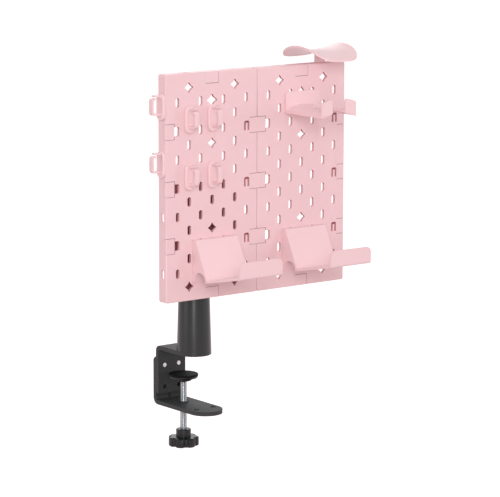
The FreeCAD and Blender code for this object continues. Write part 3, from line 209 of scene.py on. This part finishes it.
# ---------------------------------------------------------------- finishes
@dataclass(frozen=True)
class Finish:
    """One procedural finish: base colour, its slow unevenness, gloss and surface texture."""

    slot: Slot
    colour: Colour
    second: Colour
    rough_low: float
    rough_high: float
    grain_scale: float
    grain_depth: float
    mottle_scale: float = 18.0
    mottle_contrast: float = 1.6
    metallic: float = 0.0
    subsurface: float = 0.0
    subsurface_radius: Point = (1.0, 0.45, 0.4)
    subsurface_scale: float = 1.2 * MM
    specular: float = 0.5

    def material(self, effects: Effects) -> bpy.types.Material:
        """Build the finish as a material.

        Args:
            effects: the shared shader groups.

        Returns:
            A node material named after its slot.
        """
        made = bpy.data.materials.new(self.slot.value)
        made.use_nodes = True
        nodes, links = made.node_tree.nodes, made.node_tree.links
        shader = nodes["Principled BSDF"]
        shader.inputs["Metallic"].default_value = self.metallic
        shader.inputs["Specular IOR Level"].default_value = self.specular
        shader.inputs["Subsurface Weight"].default_value = self.subsurface
        shader.inputs["Subsurface Radius"].default_value = self.subsurface_radius
        shader.inputs["Subsurface Scale"].default_value = self.subsurface_scale
        mottle = nodes.new("ShaderNodeGroup")
        mottle.node_tree = effects.mottle
        mottle.inputs["Scale"].default_value = self.mottle_scale
        mottle.inputs["Contrast"].default_value = self.mottle_contrast
        blend = nodes.new("ShaderNodeMix")
        blend.data_type = "RGBA"
        blend.inputs[COLOUR_A].default_value = self.colour
        blend.inputs[COLOUR_B].default_value = self.second
        gloss = nodes.new("ShaderNodeMapRange")
        gloss.inputs["To Min"].default_value = self.rough_low
        gloss.inputs["To Max"].default_value = self.rough_high
        links.new(mottle.outputs["Share"], blend.inputs[FACTOR])
        links.new(mottle.outputs["Share"], gloss.inputs["Value"])
        links.new(blend.outputs[COLOUR_MIXED], shader.inputs["Base Color"])
        links.new(gloss.outputs["Result"], shader.inputs["Roughness"])
        grain = nodes.new("ShaderNodeGroup")
        grain.node_tree = effects.grain
        grain.inputs["Scale"].default_value = self.grain_scale
        bump = nodes.new("ShaderNodeBump")
        bump.inputs["Strength"].default_value = 1.0
        bump.inputs["Distance"].default_value = self.grain_depth
        links.new(grain.outputs["Height"], bump.inputs["Height"])
        links.new(bump.outputs["Normal"], shader.inputs["Normal"])
        return made


FINISHES: tuple[Finish, ...] = (
    Finish(Slot.PANEL, rgba(239, 208, 211), rgba(237, 204, 208), 0.4, 0.48, 2200.0, 0.00002,
           subsurface=0.1),
    Finish(Slot.ACCESSORY, rgba(240, 210, 213), rgba(238, 207, 210), 0.34, 0.44, 2400.0, 0.000012,
           subsurface=0.08, specular=0.65),
    # the plate's pink coat, taken deeper than its own colour so that it also paints the shade seen through
    # the panels' slots
    Finish(Slot.PANEL_COAT, rgba(178, 108, 112), rgba(170, 102, 106), 0.45, 0.55, 1700.0, 0.00004),
    Finish(Slot.POWDER, rgba(47, 49, 50), rgba(42, 44, 45), 0.58, 0.7, 1500.0, 0.00006,
           specular=0.4),
    Finish(Slot.SLEEVE, rgba(28, 31, 31), rgba(24, 27, 27), 0.26, 0.32, 2000.0, 0.00002,
           specular=0.4),
    Finish(Slot.ZINC, rgba(228, 231, 234), rgba(218, 221, 225), 0.12, 0.2, 900.0, 0.00001,
           metallic=1.0),
    Finish(Slot.DARK_STEEL, rgba(48, 48, 50), rgba(42, 42, 44), 0.3, 0.42, 1800.0, 0.00001),
    Finish(Slot.NYLON, rgba(226, 223, 212), rgba(219, 216, 204), 0.4, 0.5, 1800.0, 0.00001),
    Finish(Slot.RUBBER, rgba(12, 12, 13), rgba(9, 9, 10), 0.62, 0.78, 1300.0, 0.00005,
           specular=0.12),
    Finish(Slot.KNOB, rgba(21, 22, 23), rgba(18, 19, 20), 0.3, 0.42, 1600.0, 0.00003,
           specular=0.3),
)


class Shade(str, Enum):
    """Variants of a finish that only some places or pieces take, by the names of their materials: painted
    shade in the panels' gaps, grooves and hole walls, a painted reflection on the bracket screws, and a
    darker zinc for the threaded rod.
    """

    GAP = "panel_painted_gap_shade"
    GROOVE = "panel_painted_groove_shade"
    HOLE_WALL = "panel_painted_hole_shade"
    THREAD = "zinc_thread"
    TIP = "zinc_painted_reflection"


SHADES: dict[Shade, Finish] = {
    # darker panel colours that paint the shade falling in gaps, recesses, the seam, tongue grooves and the
    # walls and top arches of holes
    Shade.GAP: Finish(Slot.PANEL, rgba(112, 64, 68), rgba(104, 58, 62), 0.6, 0.7, 2200.0, 0.00002,
                      specular=0.2),
    Shade.GROOVE: Finish(Slot.PANEL, rgba(178, 112, 116), rgba(170, 105, 109), 0.6, 0.7, 2200.0,
                         0.00002, specular=0.2),
    Shade.HOLE_WALL: Finish(Slot.PANEL, rgba(227, 181, 185), rgba(222, 175, 180), 0.5, 0.6, 2200.0,
                            0.00002, specular=0.3),
    # near-white, less metallic zinc for the bracket screws: a painted reflection of the white surround on
    # their tips
    Shade.TIP: Finish(Slot.ZINC, rgba(246, 246, 246), rgba(238, 238, 238), 0.35, 0.45, 900.0,
                      0.00001, metallic=0.3),
    Shade.THREAD: Finish(Slot.ZINC, rgba(158, 162, 166), rgba(150, 154, 158), 0.16, 0.24, 900.0,
                         0.00001, metallic=1.0),
}


class Wardrobe:
    """All finishes as materials, looked up by slot."""

    def __init__(self) -> None:
        """Build every finish once."""
        effects = Effects()
        self.materials = {finish.slot: finish.material(effects) for finish in FINISHES}
        self.shades = {shade: finish.material(effects) for shade, finish in SHADES.items()}
        for shade, material in self.shades.items():
            material.name = shade.value

    def dress(self, piece: bpy.types.Object, slot: Slot, variant: bpy.types.Material | None = None) -> None:
        """Give a piece one finish: its slot's own, or a variant of it.

        Args:
            piece: the object to dress.
            slot: the finish's slot.
            variant: a shade of that finish to use in its place, where the piece has one of its own.
        """
        piece.data.materials.clear()
        piece.data.materials.append(variant or self.materials[slot])


# ---------------------------------------------------------------- mesh helpers
NODES: dict[str, bpy.types.Object] = {}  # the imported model's nodes by name; main() fills it


def finish_mesh(shape: bmesh.types.BMesh, name: str, smooth_degrees: float = 35.0) -> bpy.types.Object:
    """Turn a bmesh into a shown object, smooth but for its sharp edges.

    Args:
        shape: the bmesh; it is freed.
        name: the piece's name.
        smooth_degrees: edges flatter than this are shaded smooth.

    Returns:
        The new object, at the origin.
    """
    mesh = bpy.data.meshes.new(name)
    shape.to_mesh(mesh)
    shape.free()
    for face in mesh.polygons:
        face.use_smooth = True
    mesh.set_sharp_from_angle(angle=math.radians(smooth_degrees))
    piece = bpy.data.objects.new(name, mesh)
    bpy.context.scene.collection.objects.link(piece)
    return piece


def add_bevel(piece: bpy.types.Object, width: float, segments: int = 2, degrees: float = 40.0) -> None:
    """Round a piece's sharp edges.

    Args:
        piece: the object.
        width: the round's width in metres.
        segments: how many faces make the round.
        degrees: only edges sharper than this are rounded.
    """
    round_off = piece.modifiers.new("edge_round", "BEVEL")
    round_off.width = width
    round_off.segments = segments
    round_off.limit_method = "ANGLE"
    round_off.angle_limit = math.radians(degrees)
    round_off.harden_normals = True
    round_off.use_clamp_overlap = True


def refined(node: str, body: str, edge: float, segments: int = 2) -> bpy.types.Object:
    """A welded copy of a node's mesh with rounded edges, which stands for the node.

    Args:
        node: the node's name.
        body: the body it rides on.
        edge: the width of the edge rounds, in metres.
        segments: how many faces make a round.

    Returns:
        The new piece.
    """
    shape = bmesh.new()
    shape.from_mesh(NODES[node].data)
    bmesh.ops.remove_doubles(shape, verts=shape.verts, dist=WELD)
    bmesh.ops.dissolve_limit(
        shape, angle_limit=math.radians(FLAT_DEGREES), verts=shape.verts, edges=shape.edges)
    piece = finish_mesh(shape, node + "_skin")
    add_bevel(piece, edge, segments)
    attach(piece, body)
    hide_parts(node)
    return piece


# ---------------------------------------------------------------- sub-assemblies
@dataclass
class Board:
    """The slotted panels with their inlays and the plate behind them."""

    wardrobe: Wardrobe
    panel_edge: float = 0.35 * MM
    clip_edge: float = 0.2 * MM
    cap_edge: float = 0.15 * MM
    metal_edge: float = 0.5 * MM
    screw_edge: float = 0.25 * MM
    face_front: float = -69.0 * MM
    recess_deep: float = 0.8 * MM
    tongue_deep: float = 3.2 * MM
    tongue_from: float = 135.0 * MM
    tongue_to: float = 147.0 * MM
    seam: float = 80.0 * MM
    edge_round: float = 1.6 * MM
    face_thick: float = 4.0 * MM
    panel_wide: float = 160.0 * MM
    inset: float = 5.0 * MM
    outline_near: float = 0.5 * MM
    plane_near: float = 0.01 * MM
    front_facing: float = 0.9
    side_facing: float = 0.1
    seam_facing: float = 0.88
    overhanging: float = 0.25
    panel_painted_shades: tuple[Shade, ...] = (Shade.GAP, Shade.GROOVE, Shade.HOLE_WALL)

    def __post_init__(self) -> None:
        """Measure the two corners of the board's outline once."""
        self.low_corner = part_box("left_panel")[0]
        self.high_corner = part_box("right_panel")[1]

    def at_outline(self, place: Vector) -> bool:
        """Tell whether a place lies on the board's outer edge.

        Args:
            place: the place, in metres.

        Returns:
            True very near the outline of the two panels.
        """
        near, far = self.low_corner, self.high_corner
        inside = min(place.x - near[0], far[0] - place.x, place.z - near[2], far[2] - place.z)
        return inside < self.outline_near

    def panel_painted_shade(self, centre: Vector, normal: Vector, low: Point, high: Point) -> Shade | None:
        """Choose the painted shade that one face of a panel takes, darker where shade falls.

        Args:
            centre: the face's middle.
            normal: the way it faces.
            low: the low corner of the panel's box.
            high: the high corner of the panel's box.

        Returns:
            The painted shade of a gap, a groove or a hole's wall, or None for a plain face.
        """
        deep, along = centre.y - self.face_front, centre.x - low[0]
        faces_front = normal.y < -self.front_facing
        faces_side = abs(normal.y) < self.side_facing
        in_recess = faces_front and abs(deep - self.recess_deep) < self.plane_near
        in_seam = (abs(centre.x - self.seam) < self.edge_round and abs(normal.x) > self.seam_facing
                   and deep < self.edge_round)
        in_rim = faces_side and 0.0 < deep < self.recess_deep and not self.at_outline(centre)
        # the darkest painted shade, for recess floors, the recess walls and the seam's walls
        if in_recess or in_seam or in_rim:
            return Shade.GAP
        in_tongue = (faces_front and abs(deep - self.tongue_deep) < self.plane_near
                     and self.tongue_from < along < self.tongue_to)
        in_hole = (faces_side and self.recess_deep < deep < self.face_thick
                   and self.inset < along < self.panel_wide - self.inset
                   and low[2] + self.inset < centre.z < high[2] - self.inset)
        # a softer painted shade for tongue grooves and the downward faces of holes; other hole walls take
        # the lightest
        if in_tongue or (in_hole and normal.z < -self.overhanging):
            return Shade.GROOVE
        return Shade.HOLE_WALL if in_hole else None

    def panel(self, node: str) -> None:
        """Dress one panel, with painted shade in its recesses, tongue grooves and holes and at the seam.

        Args:
            node: the panel's node.
        """
        piece = refined(node, Body.BOARD.value, self.panel_edge)
        self.wardrobe.dress(piece, Slot.PANEL)
        for shade in self.panel_painted_shades:
            piece.data.materials.append(self.wardrobe.shades[shade])
        low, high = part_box(node)
        for face in piece.data.polygons:
            shade = self.panel_painted_shade(face.center, face.normal, low, high)
            if shade is not None:
                face.material_index = 1 + self.panel_painted_shades.index(shade)

    def inlay(self, node: str, edge: float) -> None:
        """Dress one inlay like the panel, with painted shade on the sides that face the gap round it.

        Args:
            node: the inlay's node.
            edge: the width of its edge rounds, in metres.
        """
        piece = refined(node, Body.BOARD.value, edge)
        self.wardrobe.dress(piece, Slot.ACCESSORY, self.wardrobe.materials[Slot.PANEL])
        piece.data.materials.append(self.wardrobe.shades[Shade.GAP])
        for face in piece.data.polygons:
            # the sides facing the gap take the painted gap shade
            if abs(face.normal.y) < self.side_facing and not self.at_outline(face.center):
                face.material_index = 1

    def build(self) -> None:
        """Dress both panels, the inlays, the plate and its screws."""
        for node in ("left_panel", "right_panel"):
            self.panel(node)
        for node in ("clip_top", "clip_middle", "clip_bottom"):
            self.inlay(node, self.clip_edge)
        for side, count in (("left", 3), ("right", 3), ("top", 2), ("bottom", 2)):
            for index in range(1, count + 1):
                self.inlay(f"{side}_cap_{index}", self.cap_edge)
        for node, slot in (("board_plate", Slot.PANEL_COAT), ("swivel_head", Slot.POWDER)):
            self.wardrobe.dress(refined(node, Body.BOARD.value, self.metal_edge), slot)
        for node in ("head_screws", "plate_screws", "seam_bolt_high", "seam_bolt_low"):
            self.wardrobe.dress(refined(node, Body.BOARD.value, self.screw_edge), Slot.ZINC)


@dataclass(frozen=True)
class Taper:
    """A straight taper: how far its skin stands from the axis at each height."""

    foot: float
    foot_radius: float
    slope: float

    def radius(self, height: float, wall: float = 0.0) -> float:
        """Work out the skin's distance from the axis.

        Args:
            height: the height, in metres.
            wall: how far under the skin to measure, in metres.

        Returns:
            The distance, in metres.
        """
        return self.foot_radius + self.slope * (height - self.foot) - wall


@dataclass
class Clamp:
    """The bent brackets and the pole that stands on them."""

    wardrobe: Wardrobe
    bracket_edge: float = 0.7 * MM
    bracket_segments: int = 3
    fine_edge: float = 0.3 * MM
    finest_edge: float = 0.2 * MM
    pole_y: float = -26.0 * MM
    plate_top: float = 6.0 * MM
    sleeve_wall: float = 2.2 * MM
    sleeve_top_radius: float = 18.7 * MM
    sleeve_steps: int = 180
    smooth_degrees: float = 30.0
    rim: float = 0.8 * MM
    rim_step: float = 0.3
    skirt_rim: float = 0.4 * MM
    skirt_slack: float = 0.3 * MM
    grub_radius: float = 2.85 * MM
    grub_long: float = 4.6 * MM
    grub_place: Point = (0.0, 37.2 * MM, -71.4 * MM)
    socket_rim: float = 0.45
    socket_deep: float = 0.4

    def ring(self, shape: bmesh.types.BMesh, section: list[tuple[float, float]],
             first: float = 0.0, sweep: float = 360.0) -> None:
        """Sweep a closed section about the pole's axis; a part turn gets flat ends.

        Args:
            shape: the bmesh that takes the ring.
            section: the section's corners as distance from the axis and height.
            first: the angle in degrees where the ring starts, from +X towards +Y.
            sweep: how far the ring goes round, in degrees.
        """
        turn = Matrix.Rotation(math.radians(first), 4, "Z")
        corners = [shape.verts.new(turn @ Vector((reach, 0.0, height))) for reach, height in section]
        edges = [shape.edges.new(pair) for pair in zip(corners, corners[1:] + corners[:1])]
        steps = round(self.sleeve_steps * sweep / 360.0)
        spun = bmesh.ops.spin(
            shape, geom=corners + edges, cent=(0, 0, 0), axis=(0, 0, 1), dvec=(0, 0, 0),
            angle=math.radians(sweep), steps=steps)
        if sweep < 360.0:
            last = [part for part in spun["geom_last"] if isinstance(part, bmesh.types.BMEdge)]
            bmesh.ops.contextual_create(shape, geom=edges)
            bmesh.ops.contextual_create(shape, geom=last)

    def sleeve(self) -> bpy.types.Object:
        """Model the pole's cover: a tapered tube, with a half skirt that hides the plate's round nose.

        Returns:
            The sleeve, riding on the clamp.
        """
        low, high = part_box("pole_sleeve")
        foot, peak = low[2], high[2]
        foot_radius = (high[0] - low[0]) / 2
        skin = Taper(foot, foot_radius, (self.sleeve_top_radius - foot_radius) / (peak - foot))
        plate, wall, rim = self.plate_top, self.sleeve_wall, self.rim
        shape = bmesh.new()
        self.ring(shape, [
            (skin.radius(plate, wall), plate), (skin.radius(plate), plate),
            (skin.radius(peak - rim), peak - rim),
            (skin.radius(peak) - self.rim_step * rim, peak - self.rim_step * rim),
            (skin.radius(peak) - rim, peak), (skin.radius(peak, wall), peak)])
        side_gap = math.degrees(math.asin(self.skirt_slack / foot_radius))
        self.ring(shape, [
            (skin.radius(foot, wall), foot), (foot_radius - self.skirt_rim, foot),
            (skin.radius(foot + self.skirt_rim), foot + self.skirt_rim),
            (skin.radius(plate), plate), (skin.radius(plate, wall), plate)],
            180.0 + side_gap, 180.0 - 2 * side_gap)
        bmesh.ops.remove_doubles(shape, verts=shape.verts, dist=FINE_WELD)
        bmesh.ops.translate(shape, verts=shape.verts, vec=(0, self.pole_y, 0))
        bmesh.ops.recalc_face_normals(shape, faces=shape.faces)
        cover = finish_mesh(shape, "pole_cover", self.smooth_degrees)
        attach(cover, Body.CLAMP.value)
        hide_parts("pole_sleeve")
        return cover

    def bend_hole_dark_plug(self) -> bpy.types.Object:
        """Model a small dark plug, shaped as a grub screw, in the hole of the foot's bend; it paints the
        hole dark, as shade would, instead of letting it show through.

        Returns:
            The screw, riding on the clamp.
        """
        shape = bmesh.new()
        made = bmesh.ops.create_cone(
            shape, cap_ends=True, cap_tris=False, segments=ROUND_SIDES, radius1=self.grub_radius,
            radius2=self.grub_radius, depth=self.grub_long,
            matrix=Matrix.Rotation(math.pi / 2, 4, "X"))
        bmesh.ops.translate(shape, verts=made["verts"], vec=self.grub_place)
        shape.normal_update()
        face = min(shape.faces, key=lambda side: side.normal.y)
        bmesh.ops.inset_region(shape, faces=[face], thickness=self.socket_rim * self.grub_radius)
        bmesh.ops.translate(shape, verts=face.verts, vec=(0, self.socket_deep * self.grub_long, 0))
        screw = finish_mesh(shape, "bend_hole_dark_plug")
        add_bevel(screw, self.finest_edge)
        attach(screw, Body.CLAMP.value)
        return screw

    def build(self) -> None:
        """Dress the brackets, the pole and their hardware."""
        # a dark plug paints the bend's hole dark, as shade would
        self.wardrobe.dress(self.bend_hole_dark_plug(), Slot.DARK_STEEL)
        for node in ("upper_bracket", "lower_bracket"):
            bracket = refined(node, Body.CLAMP.value, self.bracket_edge, self.bracket_segments)
            self.wardrobe.dress(bracket, Slot.POWDER)
        self.wardrobe.dress(self.sleeve(), Slot.SLEEVE)
        for node, slot, edge in (
                ("post", Slot.DARK_STEEL, self.fine_edge),
                ("swivel_washer", Slot.NYLON, self.finest_edge),
                ("screw_insert", Slot.POWDER, self.fine_edge)):
            self.wardrobe.dress(refined(node, Body.CLAMP.value, edge), slot)
        # the screw tips take the painted reflection: a near-white, less metallic zinc
        tips = refined("bracket_screws", Body.CLAMP.value, self.fine_edge)
        self.wardrobe.dress(tips, Slot.ZINC, self.wardrobe.shades[Shade.TIP])
        for node in ("post_screws", "swivel_bolt"):
            self.wardrobe.dress(refined(node, Body.CLAMP.value, self.fine_edge), Slot.ZINC)


@dataclass
class ClampScrew:
    """The threaded rod with its knob, and the pressure pad on its end."""

    wardrobe: Wardrobe
    knob_edge: float = 0.5 * MM
    pad_edge: float = 0.4 * MM
    face_edge: float = 0.3 * MM
    smooth_degrees: float = 30.0
    major: float = 5.0 * MM
    minor: float = 4.7 * MM
    pitch: float = 1.5 * MM
    crest_from: float = 0.35
    crest_to: float = 0.65
    shank_slack: float = 0.05 * MM
    run_out: float = 0.4 * MM
    thread_low: float = -113.5 * MM
    steps: int = 28
    turns: int = 46
    rod_low: float = -133.8 * MM
    rod_high: float = -36.95 * MM

    def thread(self) -> bpy.types.Object:
        """Model the rod: a helical thread between two plain ends.

        Returns:
            The rod, riding on the screw.
        """
        shape = bmesh.new()
        chain = [(self.minor, 0.0), (self.major, self.crest_from), (self.major, self.crest_to),
                 (self.minor, 1.0)]
        corners = [shape.verts.new((reach, 0.0, self.thread_low + share * self.pitch))
                   for reach, share in chain]
        profile = [shape.edges.new(pair) for pair in zip(corners, corners[1:])]
        bmesh.ops.spin(
            shape, geom=corners + profile, cent=(0, 0, 0), axis=(0, 0, 1),
            dvec=(0, 0, self.pitch / self.steps), angle=2 * math.pi * self.turns,
            steps=self.steps * self.turns)
        bmesh.ops.remove_doubles(shape, verts=shape.verts, dist=WELD)
        high = self.thread_low + (self.turns + 1) * self.pitch
        shank = self.major - self.shank_slack
        for low, peak, reach in (
                (self.rod_low, self.thread_low + self.pitch, self.minor),
                (high - self.pitch, self.rod_high, self.minor),
                (self.rod_low, self.thread_low - self.pitch, shank),
                (high + self.run_out, self.rod_high, shank)):
            made = bmesh.ops.create_cone(
                shape, cap_ends=True, cap_tris=False, segments=ROUND_SIDES, radius1=reach,
                radius2=reach, depth=peak - low)
            bmesh.ops.translate(shape, verts=made["verts"], vec=(0, 0, (peak + low) / 2))
        bmesh.ops.recalc_face_normals(shape, faces=shape.faces)
        rod = finish_mesh(shape, "threaded_rod", self.smooth_degrees)
        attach(rod, Body.SCREW.value)
        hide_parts("clamp_rod")
        return rod

    def build(self) -> None:
        """Make and dress the rod, the knob and the pad."""
        self.wardrobe.dress(self.thread(), Slot.ZINC, self.wardrobe.shades[Shade.THREAD])
        for node, body, edge, slot in (
                ("knob", Body.SCREW, self.knob_edge, Slot.KNOB),
                ("pressure_pad", Body.PAD, self.pad_edge, Slot.KNOB),
                ("pad_face", Body.PAD, self.face_edge, Slot.RUBBER)):
            self.wardrobe.dress(refined(node, body.value, edge), slot)


@dataclass
class Accessories:
    """The hooks, phone holders, controller cradle and headphone rest."""

    wardrobe: Wardrobe
    segments: int = 3
    hook_edge: float = 0.4 * MM
    shelf_edge: float = 0.6 * MM
    rest_edge: float = 0.8 * MM

    def build(self) -> None:
        """Dress every accessory; each one rides on a body of its own name."""
        for nodes, edge in (
                (("front_hook_1", "front_hook_2", "front_hook_3", "front_hook_4"), self.hook_edge),
                (("side_hook_1", "side_hook_2"), self.hook_edge),
                (("controller_cradle",), self.shelf_edge),
                (("headphone_rest",), self.rest_edge),
                (("phone_holder_left", "phone_holder_right"), self.shelf_edge)):
            for node in nodes:
                self.wardrobe.dress(refined(node, node, edge, self.segments), Slot.ACCESSORY)


# ---------------------------------------------------------------- studio
@dataclass(frozen=True)
class Lamp:
    """One square soft lamp: where it hangs, its side in metres and its power in watts."""

    name: str
    place: Point
    size: float
    watts: float

    def hang(self, aim: Point) -> None:
        """Make the lamp.

        Args:
            aim: the place that it faces.
        """
        data = bpy.data.lights.new(self.name, "AREA")
        data.shape = "SQUARE"
        data.size = self.size
        data.energy = self.watts
        rig = bpy.data.objects.new(self.name, data)
        facing = (Vector(aim) - Vector(self.place)).to_track_quat("-Z", "Y").to_matrix().to_4x4()
        rig.matrix_world = Matrix.Translation(self.place) @ facing
        bpy.context.scene.collection.objects.link(rig)


LAMPS: tuple[Lamp, ...] = (
    Lamp("key", (-2.3, -3.45, 1.6), 1.5, 66.0),
    Lamp("sheen", (-2.65, -3.4, 0.2), 0.9, 18.0),
    Lamp("overhead", (0.2, -0.8, 2.6), 1.2, 5.5),
    Lamp("back_fill", (1.4, 2.6, 1.5), 1.4, 12.0),
    Lamp("left_fill", (-2.6, 0.3, 0.4), 1.2, 6.0),
    Lamp("right_fill", (2.2, -2.0, 0.7), 0.8, 8.0),
)


@dataclass
class Studio:
    """Camera, floor, lamps and world."""

    azimuth: float = -37.8
    elevation: float = 9.7
    roll: float = 0.12
    place: Point = (-2.1974, -2.9886, 0.7829)
    aim: Point = (0.07, -0.06, 0.18)
    lens: float = 189.86
    sensor: float = 36.0
    view_far: float = 50.0
    floor_reach: float = 30.0
    floor_height: float = -0.18
    white: Colour = (1.0, 1.0, 1.0, 1.0)
    ambient: Colour = (0.6, 0.535, 0.54, 1.0)
    floor_colour: Colour = (0.6, 0.5, 0.505, 1.0)
    floor_glow: float = 0.78

    def camera(self) -> None:
        """Make the scene's camera."""
        data = bpy.data.cameras.new("camera")
        data.lens = self.lens
        data.sensor_width = self.sensor
        data.clip_end = self.view_far
        rig = bpy.data.objects.new("camera", data)
        turn, rise = math.radians(self.azimuth), math.radians(self.elevation)
        flat = math.cos(rise)
        away = Vector((math.sin(turn) * flat, -math.cos(turn) * flat, math.sin(rise)))
        facing = away.to_track_quat("Z", "Y").to_matrix().to_4x4()
        tilt = Matrix.Rotation(math.radians(self.roll), 4, "Z")
        rig.matrix_world = Matrix.Translation(self.place) @ facing @ tilt
        bpy.context.scene.collection.objects.link(rig)
        bpy.context.scene.camera = rig

    def floor(self) -> None:
        """Make the pale floor that keeps the object's shadow."""
        shape = bmesh.new()
        bmesh.ops.create_grid(shape, x_segments=1, y_segments=1, size=self.floor_reach)
        bmesh.ops.translate(shape, verts=shape.verts, vec=(0, 0, self.floor_height))
        piece = finish_mesh(shape, "floor")
        paint = bpy.data.materials.new("floor_paint")
        paint.use_nodes = True
        nodes, links = paint.node_tree.nodes, paint.node_tree.links
        nodes.clear()
        matte = nodes.new("ShaderNodeBsdfDiffuse")
        matte.inputs["Color"].default_value = self.floor_colour
        glow = nodes.new("ShaderNodeEmission")
        rays = nodes.new("ShaderNodeLightPath")
        shown = nodes.new("ShaderNodeMath")
        shown.operation = "MAXIMUM"
        seen = nodes.new("ShaderNodeMath")
        seen.operation = "MULTIPLY"
        seen.inputs[1].default_value = self.floor_glow
        both = nodes.new("ShaderNodeAddShader")
        leave = nodes.new("ShaderNodeOutputMaterial")
        links.new(rays.outputs["Is Camera Ray"], shown.inputs[0])
        links.new(rays.outputs["Is Glossy Ray"], shown.inputs[1])
        links.new(shown.outputs[0], seen.inputs[0])
        links.new(seen.outputs[0], glow.inputs["Strength"])
        links.new(matte.outputs[0], both.inputs[0])
        links.new(glow.outputs[0], both.inputs[1])
        links.new(both.outputs[0], leave.inputs["Surface"])
        piece.data.materials.append(paint)

    def world(self) -> None:
        """Make a white surround for the camera and glossy rays, and a softer one for the light."""
        world = bpy.data.worlds.new("surround")
        bpy.context.scene.world = world
        world.use_nodes = True
        nodes, links = world.node_tree.nodes, world.node_tree.links
        back = nodes["Background"]
        rays = nodes.new("ShaderNodeLightPath")
        bright = nodes.new("ShaderNodeMath")
        bright.operation = "MAXIMUM"
        level = nodes.new("ShaderNodeMix")
        level.data_type = "RGBA"
        level.inputs[COLOUR_A].default_value = self.ambient
        level.inputs[COLOUR_B].default_value = self.white
        links.new(rays.outputs["Is Camera Ray"], bright.inputs[0])
        links.new(rays.outputs["Is Glossy Ray"], bright.inputs[1])
        links.new(bright.outputs[0], level.inputs[FACTOR])
        links.new(level.outputs[COLOUR_MIXED], back.inputs["Color"])

    def build(self) -> None:
        """Set up everything round the object."""
        scene = bpy.context.scene
        scene.view_settings.view_transform = "Standard"
        self.camera()
        self.floor()
        self.world()
        for lamp in LAMPS:
            lamp.hang(self.aim)


def main() -> None:
    """Load the frame and build every piece in order."""
    logging.basicConfig(level=logging.INFO, format="%(name)s: %(message)s")
    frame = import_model()
    NODES.update(frame["nodes"])
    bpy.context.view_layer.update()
    Studio().build()
    wardrobe = Wardrobe()
    for part in (Board(wardrobe), Clamp(wardrobe), ClampScrew(wardrobe), Accessories(wardrobe)):
        part.build()
        LOG.info("built %s", type(part).__name__)


if __name__ == "__main__":
    main()
